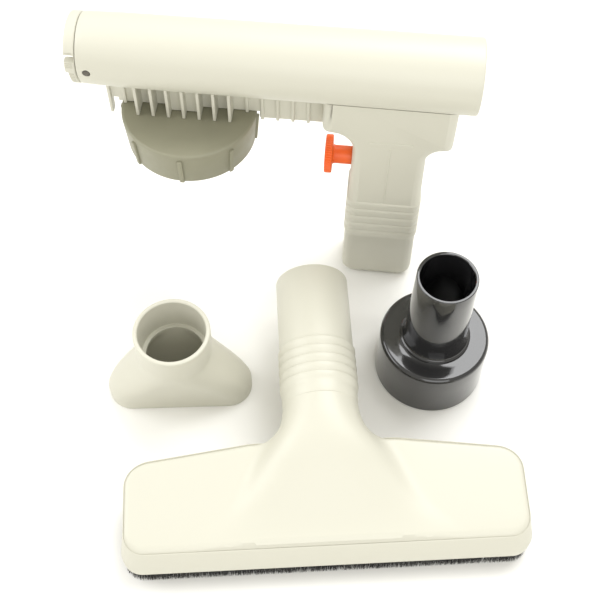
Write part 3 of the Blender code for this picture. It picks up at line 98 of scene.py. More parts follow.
def upright(x_axis, origin):
    """A frame standing on the table with its X along a level direction."""
    x = Vector((x_axis.x, x_axis.y, 0)).normalized()
    y = Vector((-x.y, x.x, 0))
    turn = Matrix((x, y, (0, 0, 1))).transposed().to_4x4()
    return Matrix.Translation((origin.x, origin.y, 0)) @ turn


def gun_frame(length):
    """X runs back along the barrel from its front seam, Y = 0 is the gun's middle plane."""
    rear, back = mount("gun_hose_end")
    return upright(back, rear - back * length)


def brush_frame(length):
    """X along the head, Y from the head's front edge to the neck's end."""
    end, back = mount("brush_neck_end")
    return upright(Vector((back.y, -back.x, 0)), end - back * length)


def nozzle_frame():
    """Z up the neck, X along the mouth."""
    centre = middle("upholstery_nozzle")
    rim, _ = mount("nozzle_neck_rim")
    return upright(rim - centre, centre)


def adapter_frame():
    """Z up the tube."""
    return upright(Vector((1, 0, 0)), middle("hose_adapter"))


def along_x(height):
    """Lays a piece that is turned about Z along the gun's X, with its axis at a height."""
    return Matrix.Translation((0, 0, height)) @ Matrix.Rotation(math.pi / 2, 4, "Y")


def along_y(height):
    """Lays a piece that is turned about Z along the brush's Y, with its axis at a height."""
    return Matrix.Translation((0, 0, height)) @ Matrix.Rotation(-math.pi / 2, 4, "X")


# ---------------------------------------------------------------- materials
def socket(shader, **values):
    """Set plain values on a shader's own sockets."""
    for name, value in values.items():
        shader.inputs[name.replace("_", " ")].default_value = value


class Finish:
    """Small helper that wires one node material on Object coordinates."""

    def __init__(self, name):
        self.material = bpy.data.materials.new(name)
        self.material.use_nodes = True
        self.tree = self.material.node_tree
        self.shader = self.tree.nodes["Principled BSDF"]
        self.place = self.add("ShaderNodeTexCoord").outputs["Object"]

    def add(self, kind, **settings):
        node = self.tree.nodes.new(kind)
        for key, value in settings.items():
            setattr(node, key, value)
        return node

    def link(self, start, end):
        self.tree.links.new(start, end)

    def noise(self, scale, detail=3.0, roughness=0.5, stretch=None):
        """A noise value, stretched along one direction where asked."""
        place = self.place
        if stretch:
            mapping = self.add("ShaderNodeMapping")
            mapping.inputs["Scale"].default_value = stretch
            self.link(place, mapping.inputs["Vector"])
            place = mapping.outputs["Vector"]
        node = self.add("ShaderNodeTexNoise")
        node.inputs["Scale"].default_value = scale
        node.inputs["Detail"].default_value = detail
        node.inputs["Roughness"].default_value = roughness
        self.link(place, node.inputs["Vector"])
        return node.outputs["Fac"]

    def ramp(self, value, stops):
        """Map a value through grey or coloured stops."""
        node = self.add("ShaderNodeValToRGB")
        elements = node.color_ramp.elements
        while len(elements) < len(stops):
            elements.new(0.5)
        for element, (position, colour) in zip(elements, stops):
            element.position = position
            if isinstance(colour, (int, float)):
                colour = (colour, colour, colour)
            element.color = (*colour[:3], 1.0)
        self.link(value, node.inputs["Fac"])
        return node.outputs["Color"]

    def mix(self, share, first, second):
        """Colour mix by a share from 0 to 1."""
        node = self.add("ShaderNodeMix", data_type="RGBA")
        self.link(share, node.inputs["Factor"])
        for name, value in (("A", first), ("B", second)):
            target = [s for s in node.inputs if s.name == name and s.type == "RGBA"][0]
            if isinstance(value, (tuple, list)):
                target.default_value = (*value[:3], 1.0)
            else:
                self.link(value, target)
        return [s for s in node.outputs if s.type == "RGBA"][0]

    def bump(self, height, strength, distance, before=None):
        """Raise the surface by a height value."""
        node = self.add("ShaderNodeBump")
        node.inputs["Strength"].default_value = strength
        node.inputs["Distance"].default_value = distance
        self.link(height, node.inputs["Height"])
        if before is not None:
            self.link(before, node.inputs["Normal"])
        self.link(node.outputs["Normal"], self.shader.inputs["Normal"])
        return node.outputs["Normal"]


def tint(colour, factor):
    """The colour made lighter or darker."""
    return tuple(min(1.0, channel * factor) for channel in colour[:3])


def moulded_plastic(name, colour, roughness, wear=0.5, streaks=(1, 1, 1)):
    """Satin moulded plastic: cloudy tone, fine grain, faint flow streaks, scuffs and lit edges."""
    finish = Finish(name)
    cloud = finish.noise(28.0, 4.0)
    tone = finish.ramp(cloud, [(0.3, tint(colour, 0.955)), (0.7, tint(colour, 1.03))])
    flow = finish.noise(9.0, 2.0, stretch=streaks)
    tone = finish.mix(finish.ramp(flow, [(0.52, 0.0), (0.75, 0.22)]), tone, tint(colour, 0.93))
    scuff = finish.ramp(finish.noise(75.0, 6.0, 0.72, stretch=(1, 1, 0.6)), [(0.690, 0.0), (0.725, wear)])
    tone = finish.mix(scuff, tone, tint(colour, 1.45))
    geometry = finish.add("ShaderNodeNewGeometry")
    edge = finish.ramp(geometry.outputs["Pointiness"], [(0.525, 0.0), (0.60, 0.35 + wear * 0.3)])
    tone = finish.mix(edge, tone, tint(colour, 1.22))
    finish.link(tone, finish.shader.inputs["Base Color"])
    sheen = finish.ramp(finish.noise(140.0, 3.0), [(0.3, roughness - 0.05), (0.7, roughness + 0.06)])
    finish.link(sheen, finish.shader.inputs["Roughness"])
    socket(finish.shader, Specular_IOR_Level=0.45)
    grain = finish.bump(finish.noise(2600.0, 2.0), 0.10, 0.00008)
    finish.bump(finish.noise(55.0, 2.0), 0.10, 0.0006, grain)
    return finish.material


def gloss_plastic(name, colour, roughness):
    """Black glossy plastic with faint moulding lines, dust and handling marks."""
    finish = Finish(name)
    dust = finish.ramp(finish.noise(420.0, 5.0, 0.7), [(0.72, 0.0), (0.80, 0.15)])
    tone = finish.mix(dust, tuple(colour), (0.16, 0.16, 0.15))
    cloud = finish.ramp(finish.noise(35.0, 4.0), [(0.35, 0.0), (0.75, 0.35)])
    tone = finish.mix(cloud, tone, tint(colour, 1.8))
    finish.link(tone, finish.shader.inputs["Base Color"])
    smear = finish.ramp(finish.noise(60.0, 4.0, 0.6), [(0.3, roughness), (0.75, roughness + 0.07)])
    finish.link(smear, finish.shader.inputs["Roughness"])
    socket(finish.shader, Specular_IOR_Level=0.55, Coat_Weight=0.6, Coat_Roughness=0.03)
    lines = finish.add("ShaderNodeTexWave", wave_type="BANDS", bands_direction="Z")
    lines.inputs["Scale"].default_value = 160.0
    lines.inputs["Distortion"].default_value = 1.5
    finish.link(finish.place, lines.inputs["Vector"])
    turned_lines = finish.bump(lines.outputs["Fac"], 0.06, 0.00005)
    finish.bump(finish.noise(45.0, 2.0), 0.12, 0.0007, turned_lines)
    return finish.material


def bristle_hair(name, colour):
    """Dark bristle: strands of slightly different tone with a dusty cast."""
    finish = Finish(name)
    strand = finish.noise(900.0, 2.0, stretch=(1, 1, 0.05))
    tone = finish.ramp(strand, [(0.3, tint(colour, 0.45)), (0.72, tint(colour, 1.9))])
    dusty = finish.ramp(finish.noise(60.0, 3.0), [(0.45, 0.0), (0.8, 0.35)])
    finish.link(finish.mix(dusty, tone, (0.13, 0.125, 0.11)), finish.shader.inputs["Base Color"])
    rough = finish.ramp(finish.noise(300.0), [(0.3, 0.5), (0.7, 0.75)])
    finish.link(rough, finish.shader.inputs["Roughness"])
    return finish.material


def metal(name, colour, roughness):
    """Drawn or turned metal with fine lines and slight stain."""
    finish = Finish(name)
    stain = finish.ramp(finish.noise(260.0, 4.0), [(0.4, tint(colour, 0.8)), (0.7, tint(colour, 1.08))])
    finish.link(stain, finish.shader.inputs["Base Color"])
    rough = finish.ramp(finish.noise(900.0, 2.0), [(0.3, roughness - 0.06), (0.7, roughness + 0.1)])
    finish.link(rough, finish.shader.inputs["Roughness"])
    socket(finish.shader, Metallic=1.0)
    finish.bump(finish.noise(3500.0, 2.0), 0.15, 0.00003)
    return finish.material


def soft_rubber(name, colour):
    """Matte rubber with a powdery bloom."""
    finish = Finish(name)
    bloom = finish.ramp(finish.noise(180.0, 5.0), [(0.45, 0.0), (0.8, 0.4)])
    finish.link(finish.mix(bloom, tuple(colour), (0.14, 0.14, 0.135)), finish.shader.inputs["Base Color"])
    rough = finish.ramp(finish.noise(500.0), [(0.3, 0.7), (0.7, 0.9)])
    finish.link(rough, finish.shader.inputs["Roughness"])
    finish.bump(finish.noise(1800.0, 3.0), 0.2, 0.00006)
    return finish.material


def pale_floor(name, colour):
    """Table top: nearly white with a very faint mottle."""
    finish = Finish(name)
    mottle = finish.ramp(finish.noise(14.0, 4.0), [(0.3, tint(colour, 0.985)), (0.7, tint(colour, 1.0))])
    finish.link(mottle, finish.shader.inputs["Base Color"])
    rough = finish.ramp(finish.noise(50.0), [(0.3, 0.6), (0.7, 0.75)])
    finish.link(rough, finish.shader.inputs["Roughness"])
    return finish.material


def finish_named(name):
    """The material of that name, made the first time it is asked for."""
    found = bpy.data.materials.get(name)
    if found:
        return found
    tones = bpy.context.scene.attachment_finishes
    if name == "grey_shell":
        return moulded_plastic(name, tones.grey, 0.44, 0.55, (1, 1, 5))
    if name == "grey_jar_cap_painted_light":
        # Painted light: the cap is the shell grey made 1.9 times lighter, to offset the shadow the barrel
        # casts on it.
        return moulded_plastic(name, tint(tones.grey, 1.90), 0.48, 0.45, (5, 5, 1))
    if name == "grey_inner":
        return moulded_plastic(name, tint(tones.grey, 0.62), 0.55, 0.25)
    if name == "orange_trigger":
        return moulded_plastic(name, tones.orange, 0.38, 0.25)
    if name == "black_adapter":
        return gloss_plastic(name, tones.black, 0.08)
    if name == "bristle_hair":
        return bristle_hair(name, tones.bristle)
    if name == "screw_steel":
        return metal(name, (0.62, 0.61, 0.58), 0.32)
    if name == "dark_pin":
        return metal(name, (0.16, 0.15, 0.13), 0.42)
    if name == "gasket_rubber":
        return soft_rubber(name, (0.045, 0.045, 0.045))
    raise RuntimeError(f"no finish named {name}")


# ---------------------------------------------------------------- modelling by hand
def deselect():
    """Leave nothing selected, in object mode."""
    if bpy.context.object and bpy.context.object.mode != "OBJECT":
        bpy.ops.object.mode_set(mode="OBJECT")
    bpy.ops.object.select_all(action="DESELECT")
    bpy.context.view_layer.objects.active = None


def pick(item):
    """Make one object the only one selected, and active."""
    deselect()
    item.select_set(True)
    bpy.context.view_layer.objects.active = item
    return item


def edit(item):
    """Enter edit mode on one object with all of it selected."""
    pick(item)
    bpy.ops.object.mode_set(mode="EDIT")
    bpy.ops.mesh.select_all(action="SELECT")


def done():
    """Leave edit mode."""
    bpy.ops.object.mode_set(mode="OBJECT")
    return bpy.context.object


def settle(item, matrix=None):
    """Put a piece's place into its mesh, so its object sits at the origin."""
    if matrix is not None:
        item.matrix_world = matrix @ item.matrix_world
    pick(item)
    bpy.ops.object.transform_apply(location=True, rotation=True, scale=True)
    return item


def turned(name, profile, segments=96):
    """Turns a profile of (radius, height) about Z: one ring, extruded and scaled step by step."""
    deselect()
    radius, height = profile[0]
    bpy.ops.mesh.primitive_circle_add(vertices=segments, radius=max(radius, 1e-5), location=(0, 0, height))
    item = bpy.context.object
    item.name = item.data.name = name
    settle(item)
    edit(item)
    reached = max(radius, 1e-5)
    closing = profile[1:] + ([profile[0]] if profile[0][0] > 0 and profile[-1][0] > 0 else [])
    for radius, level in closing:
        bpy.ops.mesh.extrude_region_move(TRANSFORM_OT_translate={"value": (0, 0, level - height)})
        radius = max(radius, 1e-5)
        share = radius / reached
        if abs(share - 1.0) > 1e-9:
            bpy.ops.transform.resize(value=(share, share, 1.0), center_override=(0, 0, level))
        reached, height = radius, level
    bpy.ops.mesh.select_all(action="SELECT")
    bpy.ops.mesh.remove_doubles(threshold=4e-5 if min(r for r, _ in profile) <= 0 else WELD)
    bpy.ops.mesh.normals_make_consistent(inside=False)
    return done()


def arc(centre, radius, start, end, steps):
    """Points of an arc in a profile, angles in degrees."""
    return [(centre[0] + radius * math.cos(math.radians(start + (end - start) * step / steps)),
             centre[1] + radius * math.sin(math.radians(start + (end - start) * step / steps)))
            for step in range(steps + 1)]


def block(name, low, high):
    """A block between two corners."""
    deselect()
    size = [b - a for a, b in zip(low, high)]
    centre = [(a + b) / 2 for a, b in zip(low, high)]
    bpy.ops.mesh.primitive_cube_add(size=1.0, location=centre, scale=size)
    item = bpy.context.object
    item.name = item.data.name = name
    return settle(item)


def peg(name, radius, depth, location, rotation=(0, 0, 0), segments=32):
    """A plain cylinder, used to cut holes."""
    deselect()
    bpy.ops.mesh.primitive_cylinder_add(vertices=segments, radius=radius, depth=depth, location=location,
                                        rotation=rotation)
    item = bpy.context.object
    item.name = item.data.name = name
    return settle(item)


def apply(item, kind, **settings):
    """Add a modifier and apply it."""
    pick(item)
    step = item.modifiers.new(kind.lower(), kind)
    for key, value in settings.items():
        setattr(step, key, value)
    bpy.ops.object.modifier_apply(modifier=step.name)
    return item


def carve(item, *others, operation="DIFFERENCE"):
    """Cut other forms out of a piece, or fuse them in, and remove them."""
    for other in others:
        apply(item, "BOOLEAN", operation=operation, solver="EXACT", object=other)
        bpy.data.objects.remove(other, do_unlink=True)
    return item


def soften(item, width, segments=2, angle=35):
    """A fine bevel along the sharp edges."""
    return apply(item, "BEVEL", width=width, segments=segments, limit_method="ANGLE",
                 angle_limit=math.radians(angle), use_clamp_overlap=True, harden_normals=False)


def smooth(item, angle=32):
    """Smooth shading with the sharp edges kept."""
    pick(item)
    bpy.ops.object.shade_smooth_by_angle(angle=math.radians(angle))
    return item


def copy_of(node, name):
    """A welded copy of a CAD node with its flat faces made whole, to finish as a new piece."""
    item = NODES[node].copy()
    item.data = NODES[node].data.copy()
    item.name = item.data.name = name
    for key in list(item.keys()):
        del item[key]
    bpy.context.scene.collection.objects.link(item)
    item.parent = None
    item.matrix_world = Matrix.Identity(4)
    item.data.materials.clear()
    edit(item)
    bpy.ops.mesh.remove_doubles(threshold=1e-5)
    bpy.ops.mesh.dissolve_limited(angle_limit=math.radians(0.5))
    return done()


def loft(name, sections, ring=False):
    """A skin through closed sections of equal count; a ring also joins the last to the first."""
    work = bmesh.new()
    rows = [[work.verts.new(point) for point in section] for section in sections]
    pairs = list(zip(rows, rows[1:]))
    if ring:
        pairs.append((rows[-1], rows[0]))
    for lower, upper in pairs:
        for index in range(len(lower)):
            after = (index + 1) % len(lower)
            work.faces.new((lower[index], lower[after], upper[after], upper[index]))
    if not ring:
        work.faces.new(list(reversed(rows[0])))
        work.faces.new(rows[-1])
    bmesh.ops.recalc_face_normals(work, faces=work.faces)
    mesh = bpy.data.meshes.new(name)
    work.to_mesh(mesh)
    work.free()
    item = bpy.data.objects.new(name, mesh)
    bpy.context.scene.collection.objects.link(item)
    return item


def hand_over(item, finish, body, replaced):
    """Give a finished piece its material, its body and the CAD nodes it stands for."""
    item.data.materials.clear()
    item.data.materials.append(finish_named(finish))
    item.data.polygons.foreach_set("material_index", [0] * len(item.data.polygons))
    if item.parent is None:
        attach(item, body)
    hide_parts(*replaced)
    return item


# ---------------------------------------------------------------- outlines
def rounded(corners, steps=10):
    """Outline of a polygon whose corners (x, y, radius) are rounded with arcs."""
    points = []
    count = len(corners)
    for index, (x, y, radius) in enumerate(corners):
        here = Vector((x, y))
        before = (Vector(corners[index - 1][:2]) - here).normalized()
        after = (Vector(corners[(index + 1) % count][:2]) - here).normalized()
        half = before.angle(after) / 2
        if radius <= 0 or abs(half - math.pi / 2) < 1e-3:
            points.append(here)
            continue
        reach = radius / math.tan(half)
        centre = here + (before + after).normalized() * (radius / math.sin(half))
        start = here + before * reach - centre
        sweep = start.angle_signed(here + after * reach - centre)
        for step in range(steps + 1):
            points.append(centre + Matrix.Rotation(-sweep * step / steps, 2) @ start)
    return points


def inset(corners, amount):
    """The same anticlockwise polygon with its edges moved inwards and its radii to match."""
    moved = []
    count = len(corners)
    for index, (x, y, radius) in enumerate(corners):
        here = Vector((x, y))
        into = (here - Vector(corners[index - 1][:2])).normalized()
        away = (Vector(corners[(index + 1) % count][:2]) - here).normalized()
        left_in, left_out = Vector((-into.y, into.x)), Vector((-away.y, away.x))
        bisector = (left_in + left_out).normalized()
        corner = here + bisector * (amount / bisector.dot(left_in))
        convex = into.x * away.y - into.y * away.x > 0
        changed = max(radius - amount, 0.0004) if convex else radius + amount
        moved.append((corner.x, corner.y, changed if radius > 0 else 0.0))
    return moved


def even_outline(corners, spacing, arc_steps=14):
    """Outline points of a rounded polygon at an even spacing."""
    points = rounded(corners, arc_steps)
    lengths = [(points[(i + 1) % len(points)] - p).length for i, p in enumerate(points)]
    total = sum(lengths)
    count = int(total / spacing)
    spread, index, walked = [], 0, 0.0
    for step in range(count):
        target = total * step / count
        while walked + lengths[index] < target:
            walked += lengths[index]
            index += 1
        share = (target - walked) / lengths[index]
        spread.append(points[index].lerp(points[(index + 1) % len(points)], share))
    return spread


# ---------------------------------------------------------------- sizes and colours a user may change
def size_property(name, default, description):
    """A length in metres with its own name and description."""
    return FloatProperty(name=name, default=default, description=description, unit="LENGTH",
                         subtype="DISTANCE", min=0.0, precision=5)


def colour_property(name, default, description):
    """A colour with its own name and description."""
    return FloatVectorProperty(name=name, default=default, description=description, subtype="COLOR",
                               size=3, min=0.0, max=1.0)


class AttachmentFinishes(bpy.types.PropertyGroup):
    """Colours of the moulded parts."""

    grey: colour_property("Shell grey", (0.142, 0.138, 0.099), "Warm light grey of the moulded shells")
    orange: colour_property("Trigger orange", (0.900, 0.140, 0.020), "Orange of the trigger")
    black: colour_property("Adapter black", (0.012, 0.012, 0.013), "Black of the hose adapter")
    bristle: colour_property("Bristle", (0.018, 0.018, 0.017), "Charcoal of the bristles")
    floor: colour_property("Table", (0.93, 0.925, 0.90), "Pale table top")


class GunSizes(bpy.types.PropertyGroup):
    """Sizes of the spray gun."""

    barrel_length: size_property("Barrel length", 0.235, "Front seam to the hose end")
    front_radius: size_property("Front radius", 0.0210, "Barrel's radius at the front seam")
    shoulder_radius: size_property("Shoulder radius", 0.0217, "Radius behind the nose")
    rear_radius: size_property("Rear radius", 0.02265, "Radius at the hose end")
    nose_length: size_property("Nose length", 0.025, "Length of the slight nose")
    wall: size_property("Barrel wall", 0.0025, "Wall thickness")
    ring_length: size_property("Ring length", 0.0067, "Bezel ring in front of the seam")
    ring_step: size_property("Ring step", 0.0021, "How much shorter the ring's lower part is")
    spigot_length: size_property("Spigot length", 0.014, "Ring's spigot inside the barrel")
    pin_setback: size_property("Pin setback", 0.0060, "Pin behind the front seam")
    pin_radius: size_property("Pin radius", 0.0021, "Radius of the pin's head")
    grip_centre: size_property("Grip centre", 0.187, "Grip's centre line behind the front seam")
    finger_low: size_property("Finger rings, low", 0.0450, "Lower end of the finger rings")
    finger_high: size_property("Finger rings, high", 0.0840, "Upper end of the finger rings")
    cap_radius: size_property("Cap radius", 0.0425, "Jar cap at its top")
    cap_lower_radius: size_property("Cap lower radius", 0.0408, "Jar cap at its lower edge")
    cap_height: size_property("Cap height", 0.0250, "Height of the jar cap")
    cap_bars: IntProperty(name="Cap bars", default=8, description="Grip bars round the jar cap", min=3)
    trigger_radius: size_property("Trigger radius", 0.0125, "Radius of the push plate")
    stem_radius: size_property("Stem radius", 0.0060, "Radius of the trigger's stem")


class BrushSizes(bpy.types.PropertyGroup):
    """Sizes of the floor brush."""

    width: size_property("Head width", 0.2520, "Along the head")
    depth: size_property("Head depth", 0.0600, "Front to rear at the ends")
    bulge: size_property("Rear bulge", 0.0100, "Extra depth at the middle of the rear")
    skirt: size_property("Skirt height", 0.0120, "Skirt's lower edge above the table")
    crease: size_property("Crease height", 0.0320, "Front edge of the top face")
    front_lean: size_property("Front lean", 0.0070, "Top face's front edge behind the skirt's")
    side_lean: size_property("Side lean", 0.0030, "Top face's front corners in from the skirt's")
    upright: size_property("Upright skirt", 0.0070, "Height of the skirt that does not lean")
    rise: size_property("Roof rise", 0.0090, "How much the top climbs to the rear")
    wall: size_property("Wall", 0.0025, "Wall thickness of the head")
    neck_length: size_property("Neck length", 0.1861, "Head's front edge to the neck's end")
    neck_radius: size_property("Neck radius", 0.0241, "Outer radius of the neck")
    neck_wall: size_property("Neck wall", 0.0026, "Wall thickness of the neck")
    neck_height: size_property("Neck height", 0.0410, "Neck's axis above the table")
    strands: IntProperty(name="Strands", default=9000, description="Bristle strands in each length",
                         min=100)


class NozzleSizes(bpy.types.PropertyGroup):
    """Sizes of the upholstery nozzle."""

    height: size_property("Height", 0.0740, "Mouth to the neck's rim")
    neck_radius: size_property("Neck radius", 0.0243, "Outer radius of the collar")
    bore_radius: size_property("Bore radius", 0.0215, "Inside of the neck")
    collar: size_property("Collar", 0.0190, "Height of the collar band")
    ledge: size_property("Ledge depth", 0.0260, "Hose stop below the rim")
    throat_radius: size_property("Throat radius", 0.0188, "Inside below the ledge")
    mouth_width: size_property("Mouth width", 0.0960, "Along the mouth")
    mouth_depth: size_property("Mouth depth", 0.0320, "Across the mouth")
    band: size_property("Mouth band", 0.0120, "Upright part at the mouth")
    wall: size_property("Wall", 0.0023, "Wall thickness")


class AdapterSizes(bpy.types.PropertyGroup):
    """Sizes of the hose adapter."""

    cup_radius: size_property("Cup radius", 0.0367, "Cup at the table")
    cup_top_radius: size_property("Cup top radius", 0.0360, "Cup at its shoulder")
    cup_height: size_property("Cup height", 0.0400, "Height of the cup")
    height: size_property("Height", 0.1078, "Table to the tube's rim")
    tube_radius: size_property("Tube radius, low", 0.0203, "Tube at its foot")
    tube_top_radius: size_property("Tube radius, top", 0.01907, "Tube at its rim")
    ring_radius: size_property("Ring radius", 0.0232, "Small ring at the tube's foot")
    wall: size_property("Wall", 0.0021, "Wall thickness")


# ---------------------------------------------------------------- spray gun
class GUN_OT_barrel(bpy.types.Operator):
    """Model the barrel"""

    bl_idname = "attachments.gun_barrel"
    bl_label = "Barrel"

    def execute(self, context):
        s = context.scene.attachment_gun
        axis = middle("front_ring").z
        rear, length = s.rear_radius, s.barrel_length
        edge = 0.0012
        profile = arc((rear - edge, length - edge), edge, 90, 0, 6)
        for step in range(1, 12):
            share = step / 12
            along = length - edge - (length - edge - s.nose_length) * share
            profile.append((rear + (s.shoulder_radius - rear) * share, along))
        for step in range(7):
            share = step / 6
            bend = share * share * 0.35 + share * 0.65
            profile.append((s.shoulder_radius + (s.front_radius - s.shoulder_radius) * bend,
                            s.nose_length * (1 - share) + 0.0010 * share))
        profile += [(s.front_radius - 0.0002, 0.0004), (s.front_radius - 0.0006, 0.0001),
                    (s.front_radius - 0.0010, 0.0), (s.front_radius - s.wall, 0.0),
                    (s.shoulder_radius - s.wall, s.nose_length), (rear - s.wall - 0.0004, length - 0.0008),
                    (rear - s.wall, length)]
        item = turned("gun_barrel", profile, 128)
        settle(item, along_x(axis))
        vent = middle("vent_pipe")
        feed = middle("jar_cap")
        pins = peg("pin_hole", s.pin_radius + HAIR, 4 * rear, (s.pin_setback, 0, axis), (math.pi / 2, 0, 0))
        to_gun = gun_frame(length).inverted()
        feed_at, vent_at = to_gun @ feed, to_gun @ vent
        feed_radius = 0.0034 + HAIR
        feed_hole = peg("feed_hole", feed_radius, 2 * rear, (feed_at.x, 0, axis - rear))
        vent_hole = peg("vent_hole", 0.0040 + HAIR, 2 * rear, (vent_at.x, 0, axis - rear))
        carve(item, pins, feed_hole, vent_hole)
        smooth(item, 30)
        settle(item, gun_frame(length))
        hand_over(item, "grey_shell", "spray_gun", ["barrel"])
        return {"FINISHED"}


class GUN_OT_front_ring(bpy.types.Operator):
    """Model the bezel ring with its notch and grip teeth"""

    bl_idname = "attachments.gun_front_ring"
    bl_label = "Front ring"

    def execute(self, context):
        s = context.scene.attachment_gun
        axis = middle("front_ring").z
        outer = s.front_radius
        spigot = outer - s.wall - HAIR
        bore = spigot - 0.0022
        front = -s.ring_length
        profile = [(spigot, s.spigot_length), (spigot, -HAIR), (outer - 0.0006, -HAIR), (outer, -0.0008),
                   *arc((outer - 0.0012, front + 0.0012), 0.0012, 0, -90, 6),
                   (bore + 0.0010, front), (bore, front + 0.0010), (bore, s.spigot_length - 0.0006),
                   (bore + 0.0006, s.spigot_length)]
        item = turned("gun_front_ring", profile, 128)
        settle(item, along_x(axis))
        notch_at = axis + math.sin(math.radians(23)) * outer
        reach = 2 * outer
        past_front = front - 0.004
        notch = block("notch", (past_front, -reach, notch_at - 0.0020),
                      (-0.0006, -bore * 0.5, notch_at + 0.0020))
        step = block("step", (past_front, -reach, axis - reach),
                     (front + s.ring_step, reach, axis - 0.0005))
        holes = peg("holes", 0.0015 + HAIR, 4 * outer, (s.pin_setback, 0, axis), (math.pi / 2, 0, 0), 24)
        carve(item, notch, step, holes)
        teeth = []
        for degrees in [9, 12.5, 16, 29.5, 32.5] + [-4 - 5 * k for k in range(37)]:
            angle = math.radians(degrees)
            tooth = block("tooth", (front - 0.001, -0.00035, -0.0004), (-0.0014, 0.00035, 0.0004))
            out = Vector((0, -math.cos(angle), math.sin(angle)))
            tooth.matrix_world = Matrix.Translation(out * outer + Vector((0, 0, axis))) @ Matrix.Rotation(
                -angle, 4, "X")
            teeth.append(tooth)
        deselect()
        for tooth in teeth:
            tooth.select_set(True)
        bpy.context.view_layer.objects.active = teeth[0]
        bpy.ops.object.join()
        settle(teeth[0])
        carve(item, teeth[0])
        smooth(item, 30)
        settle(item, gun_frame(s.barrel_length))
        hand_over(item, "grey_shell", "spray_gun", ["front_ring"])
        return {"FINISHED"}


class GUN_OT_rail(bpy.types.Operator):
    """Model the ribbed rail under the barrel"""

    bl_idname = "attachments.gun_rail"
    bl_label = "Rib rail"

    def execute(self, context):
        item = copy_of("rib_rail", "gun_rib_rail")
        soften(item, 0.00028, 2, 40)
        smooth(item, 35)
        hand_over(item, "grey_shell", "spray_gun", ["rib_rail"])
        return {"FINISHED"}


def finger_rise(height, low, high, count=5):
    """How far the finger rings stand proud at a height: each ring is steep above and slopes away below."""
    if not low < height < high:
        return 0.0
    share = (height - low) / (high - low) * count
    within = share - math.floor(share)
    rise = min(1.0, within / 0.70) if within < 0.86 else max(0.0, (1 - within) / 0.14)
    return 0.00090 * math.sin(rise * math.pi / 2)


class GUN_OT_grip(bpy.types.Operator):
    """Model both halves of the grip with the finger rings and the seam"""

    bl_idname = "attachments.gun_grip"
    bl_label = "Grip shells"

    def half(self, s, side, node, name):
        """One half: the CAD shell, made whole, with finger rings and, near side, a raised line."""
        to_world = gun_frame(s.barrel_length)
        shell = copy_of(node, name)
        settle(shell, to_world.inverted())
        face = side * 0.0160
        seam = side * HAIR / 2
        bottom, top = 0.0500, 0.0460
        axis = middle("front_ring").z
        front_edge = axis - 0.0435
        sections = []
        levels = 66
        low, high = s.finger_low, s.finger_high
        for level in range(levels + 1):
            height = low + (high - low) * level / levels
            proud = finger_rise(height, low, high)
            half_width = (bottom + (top - bottom) * height / front_edge) / 2
            outer, inner = [], []
            for amount, points in ((proud if proud > 0 else -0.0003, outer), (-0.0012, inner)):
                reach, radius = half_width + amount, 0.0062 + max(amount, 0)
                depth = abs(face) + amount
                points.append((s.grip_centre - reach, seam, height))
                for step in range(9):
                    angle = math.pi / 2 * step / 8
                    points.append((s.grip_centre - reach + radius * (1 - math.cos(angle)),
                                   side * (depth - radius + radius * math.sin(angle)), height))
                for step in range(9):
                    angle = math.pi / 2 * step / 8
                    points.append((s.grip_centre + reach - radius * (1 - math.sin(angle)),
                                   side * (depth - radius + radius * math.cos(angle)), height))
                points.append((s.grip_centre + reach, seam, height))
            sections.append(outer + list(reversed(inner)))
        rings = loft("finger_rings", sections)
        carve(shell, rings, operation="UNION")
        if side < 0:
            centre, proud, sunk = s.grip_centre, face - 0.0003, face + 0.0010
            stroke = block("line", (centre - 0.0005, proud, 0.0860), (centre + 0.0005, sunk, 0.1380))
            badge = block("bar", (centre - 0.0135, proud, 0.1405), (centre + 0.0135, sunk, 0.1440))
            soften(stroke, 0.00025)
            soften(badge, 0.0003, 3)
            carve(shell, stroke, badge, operation="UNION")
        smooth(shell, 32)
        settle(shell, to_world)
        return hand_over(shell, "grey_shell", "spray_gun", [node])

    def execute(self, context):
        s = context.scene.attachment_gun
        self.half(s, -1, "grip_shell_near", "gun_grip_near")
        self.half(s, 1, "grip_shell_far", "gun_grip_far")
        return {"FINISHED"}


class GUN_OT_trigger(bpy.types.Operator):
    """Model the push plate with its finely knurled rim and its stem"""

    bl_idname = "attachments.gun_trigger"
    bl_label = "Trigger"

    def execute(self, context):
        s = context.scene.attachment_gun
        low, high = local_box("trigger_button", gun_frame(s.barrel_length))
        front, back = low.x, high.x
        plate = 0.0050
        plate_rear = front + plate
        r, stem = s.trigger_radius, s.stem_radius
        profile = [(0.0, back), (stem - 0.0003, back), (stem, back - 0.0003), (stem, plate_rear + 0.0016),
                   *arc((stem + 0.0016, plate_rear + 0.0016), 0.0016, 180, 270, 5),
                   (r - 0.0009, plate_rear), (r - 0.0003, plate_rear - 0.0003), (r, plate_rear - 0.0009),
                   (r, front + 0.0009), (r - 0.0003, front + 0.0003), (r - 0.0009, front),
                   (r - 0.0030, front), (r - 0.0036, front + 0.0004), (0.0, front + 0.0006)]
        item = turned("gun_trigger", profile, 144)
        mesh = item.data
        for vert in mesh.vertices:
            radius = math.hypot(vert.co.x, vert.co.y)
            if radius > r - 0.0002:
                step = round(math.atan2(vert.co.y, vert.co.x) / (2 * math.pi / 144)) % 3
                if step == 0:
                    vert.co.x *= 1 - 0.00055 / radius
                    vert.co.y *= 1 - 0.00055 / radius
        settle(item, along_x((low.z + high.z) / 2))
        smooth(item, 28)
        settle(item, gun_frame(s.barrel_length))
        hand_over(item, "orange_trigger", "trigger", ["trigger_button"])
        return {"FINISHED"}


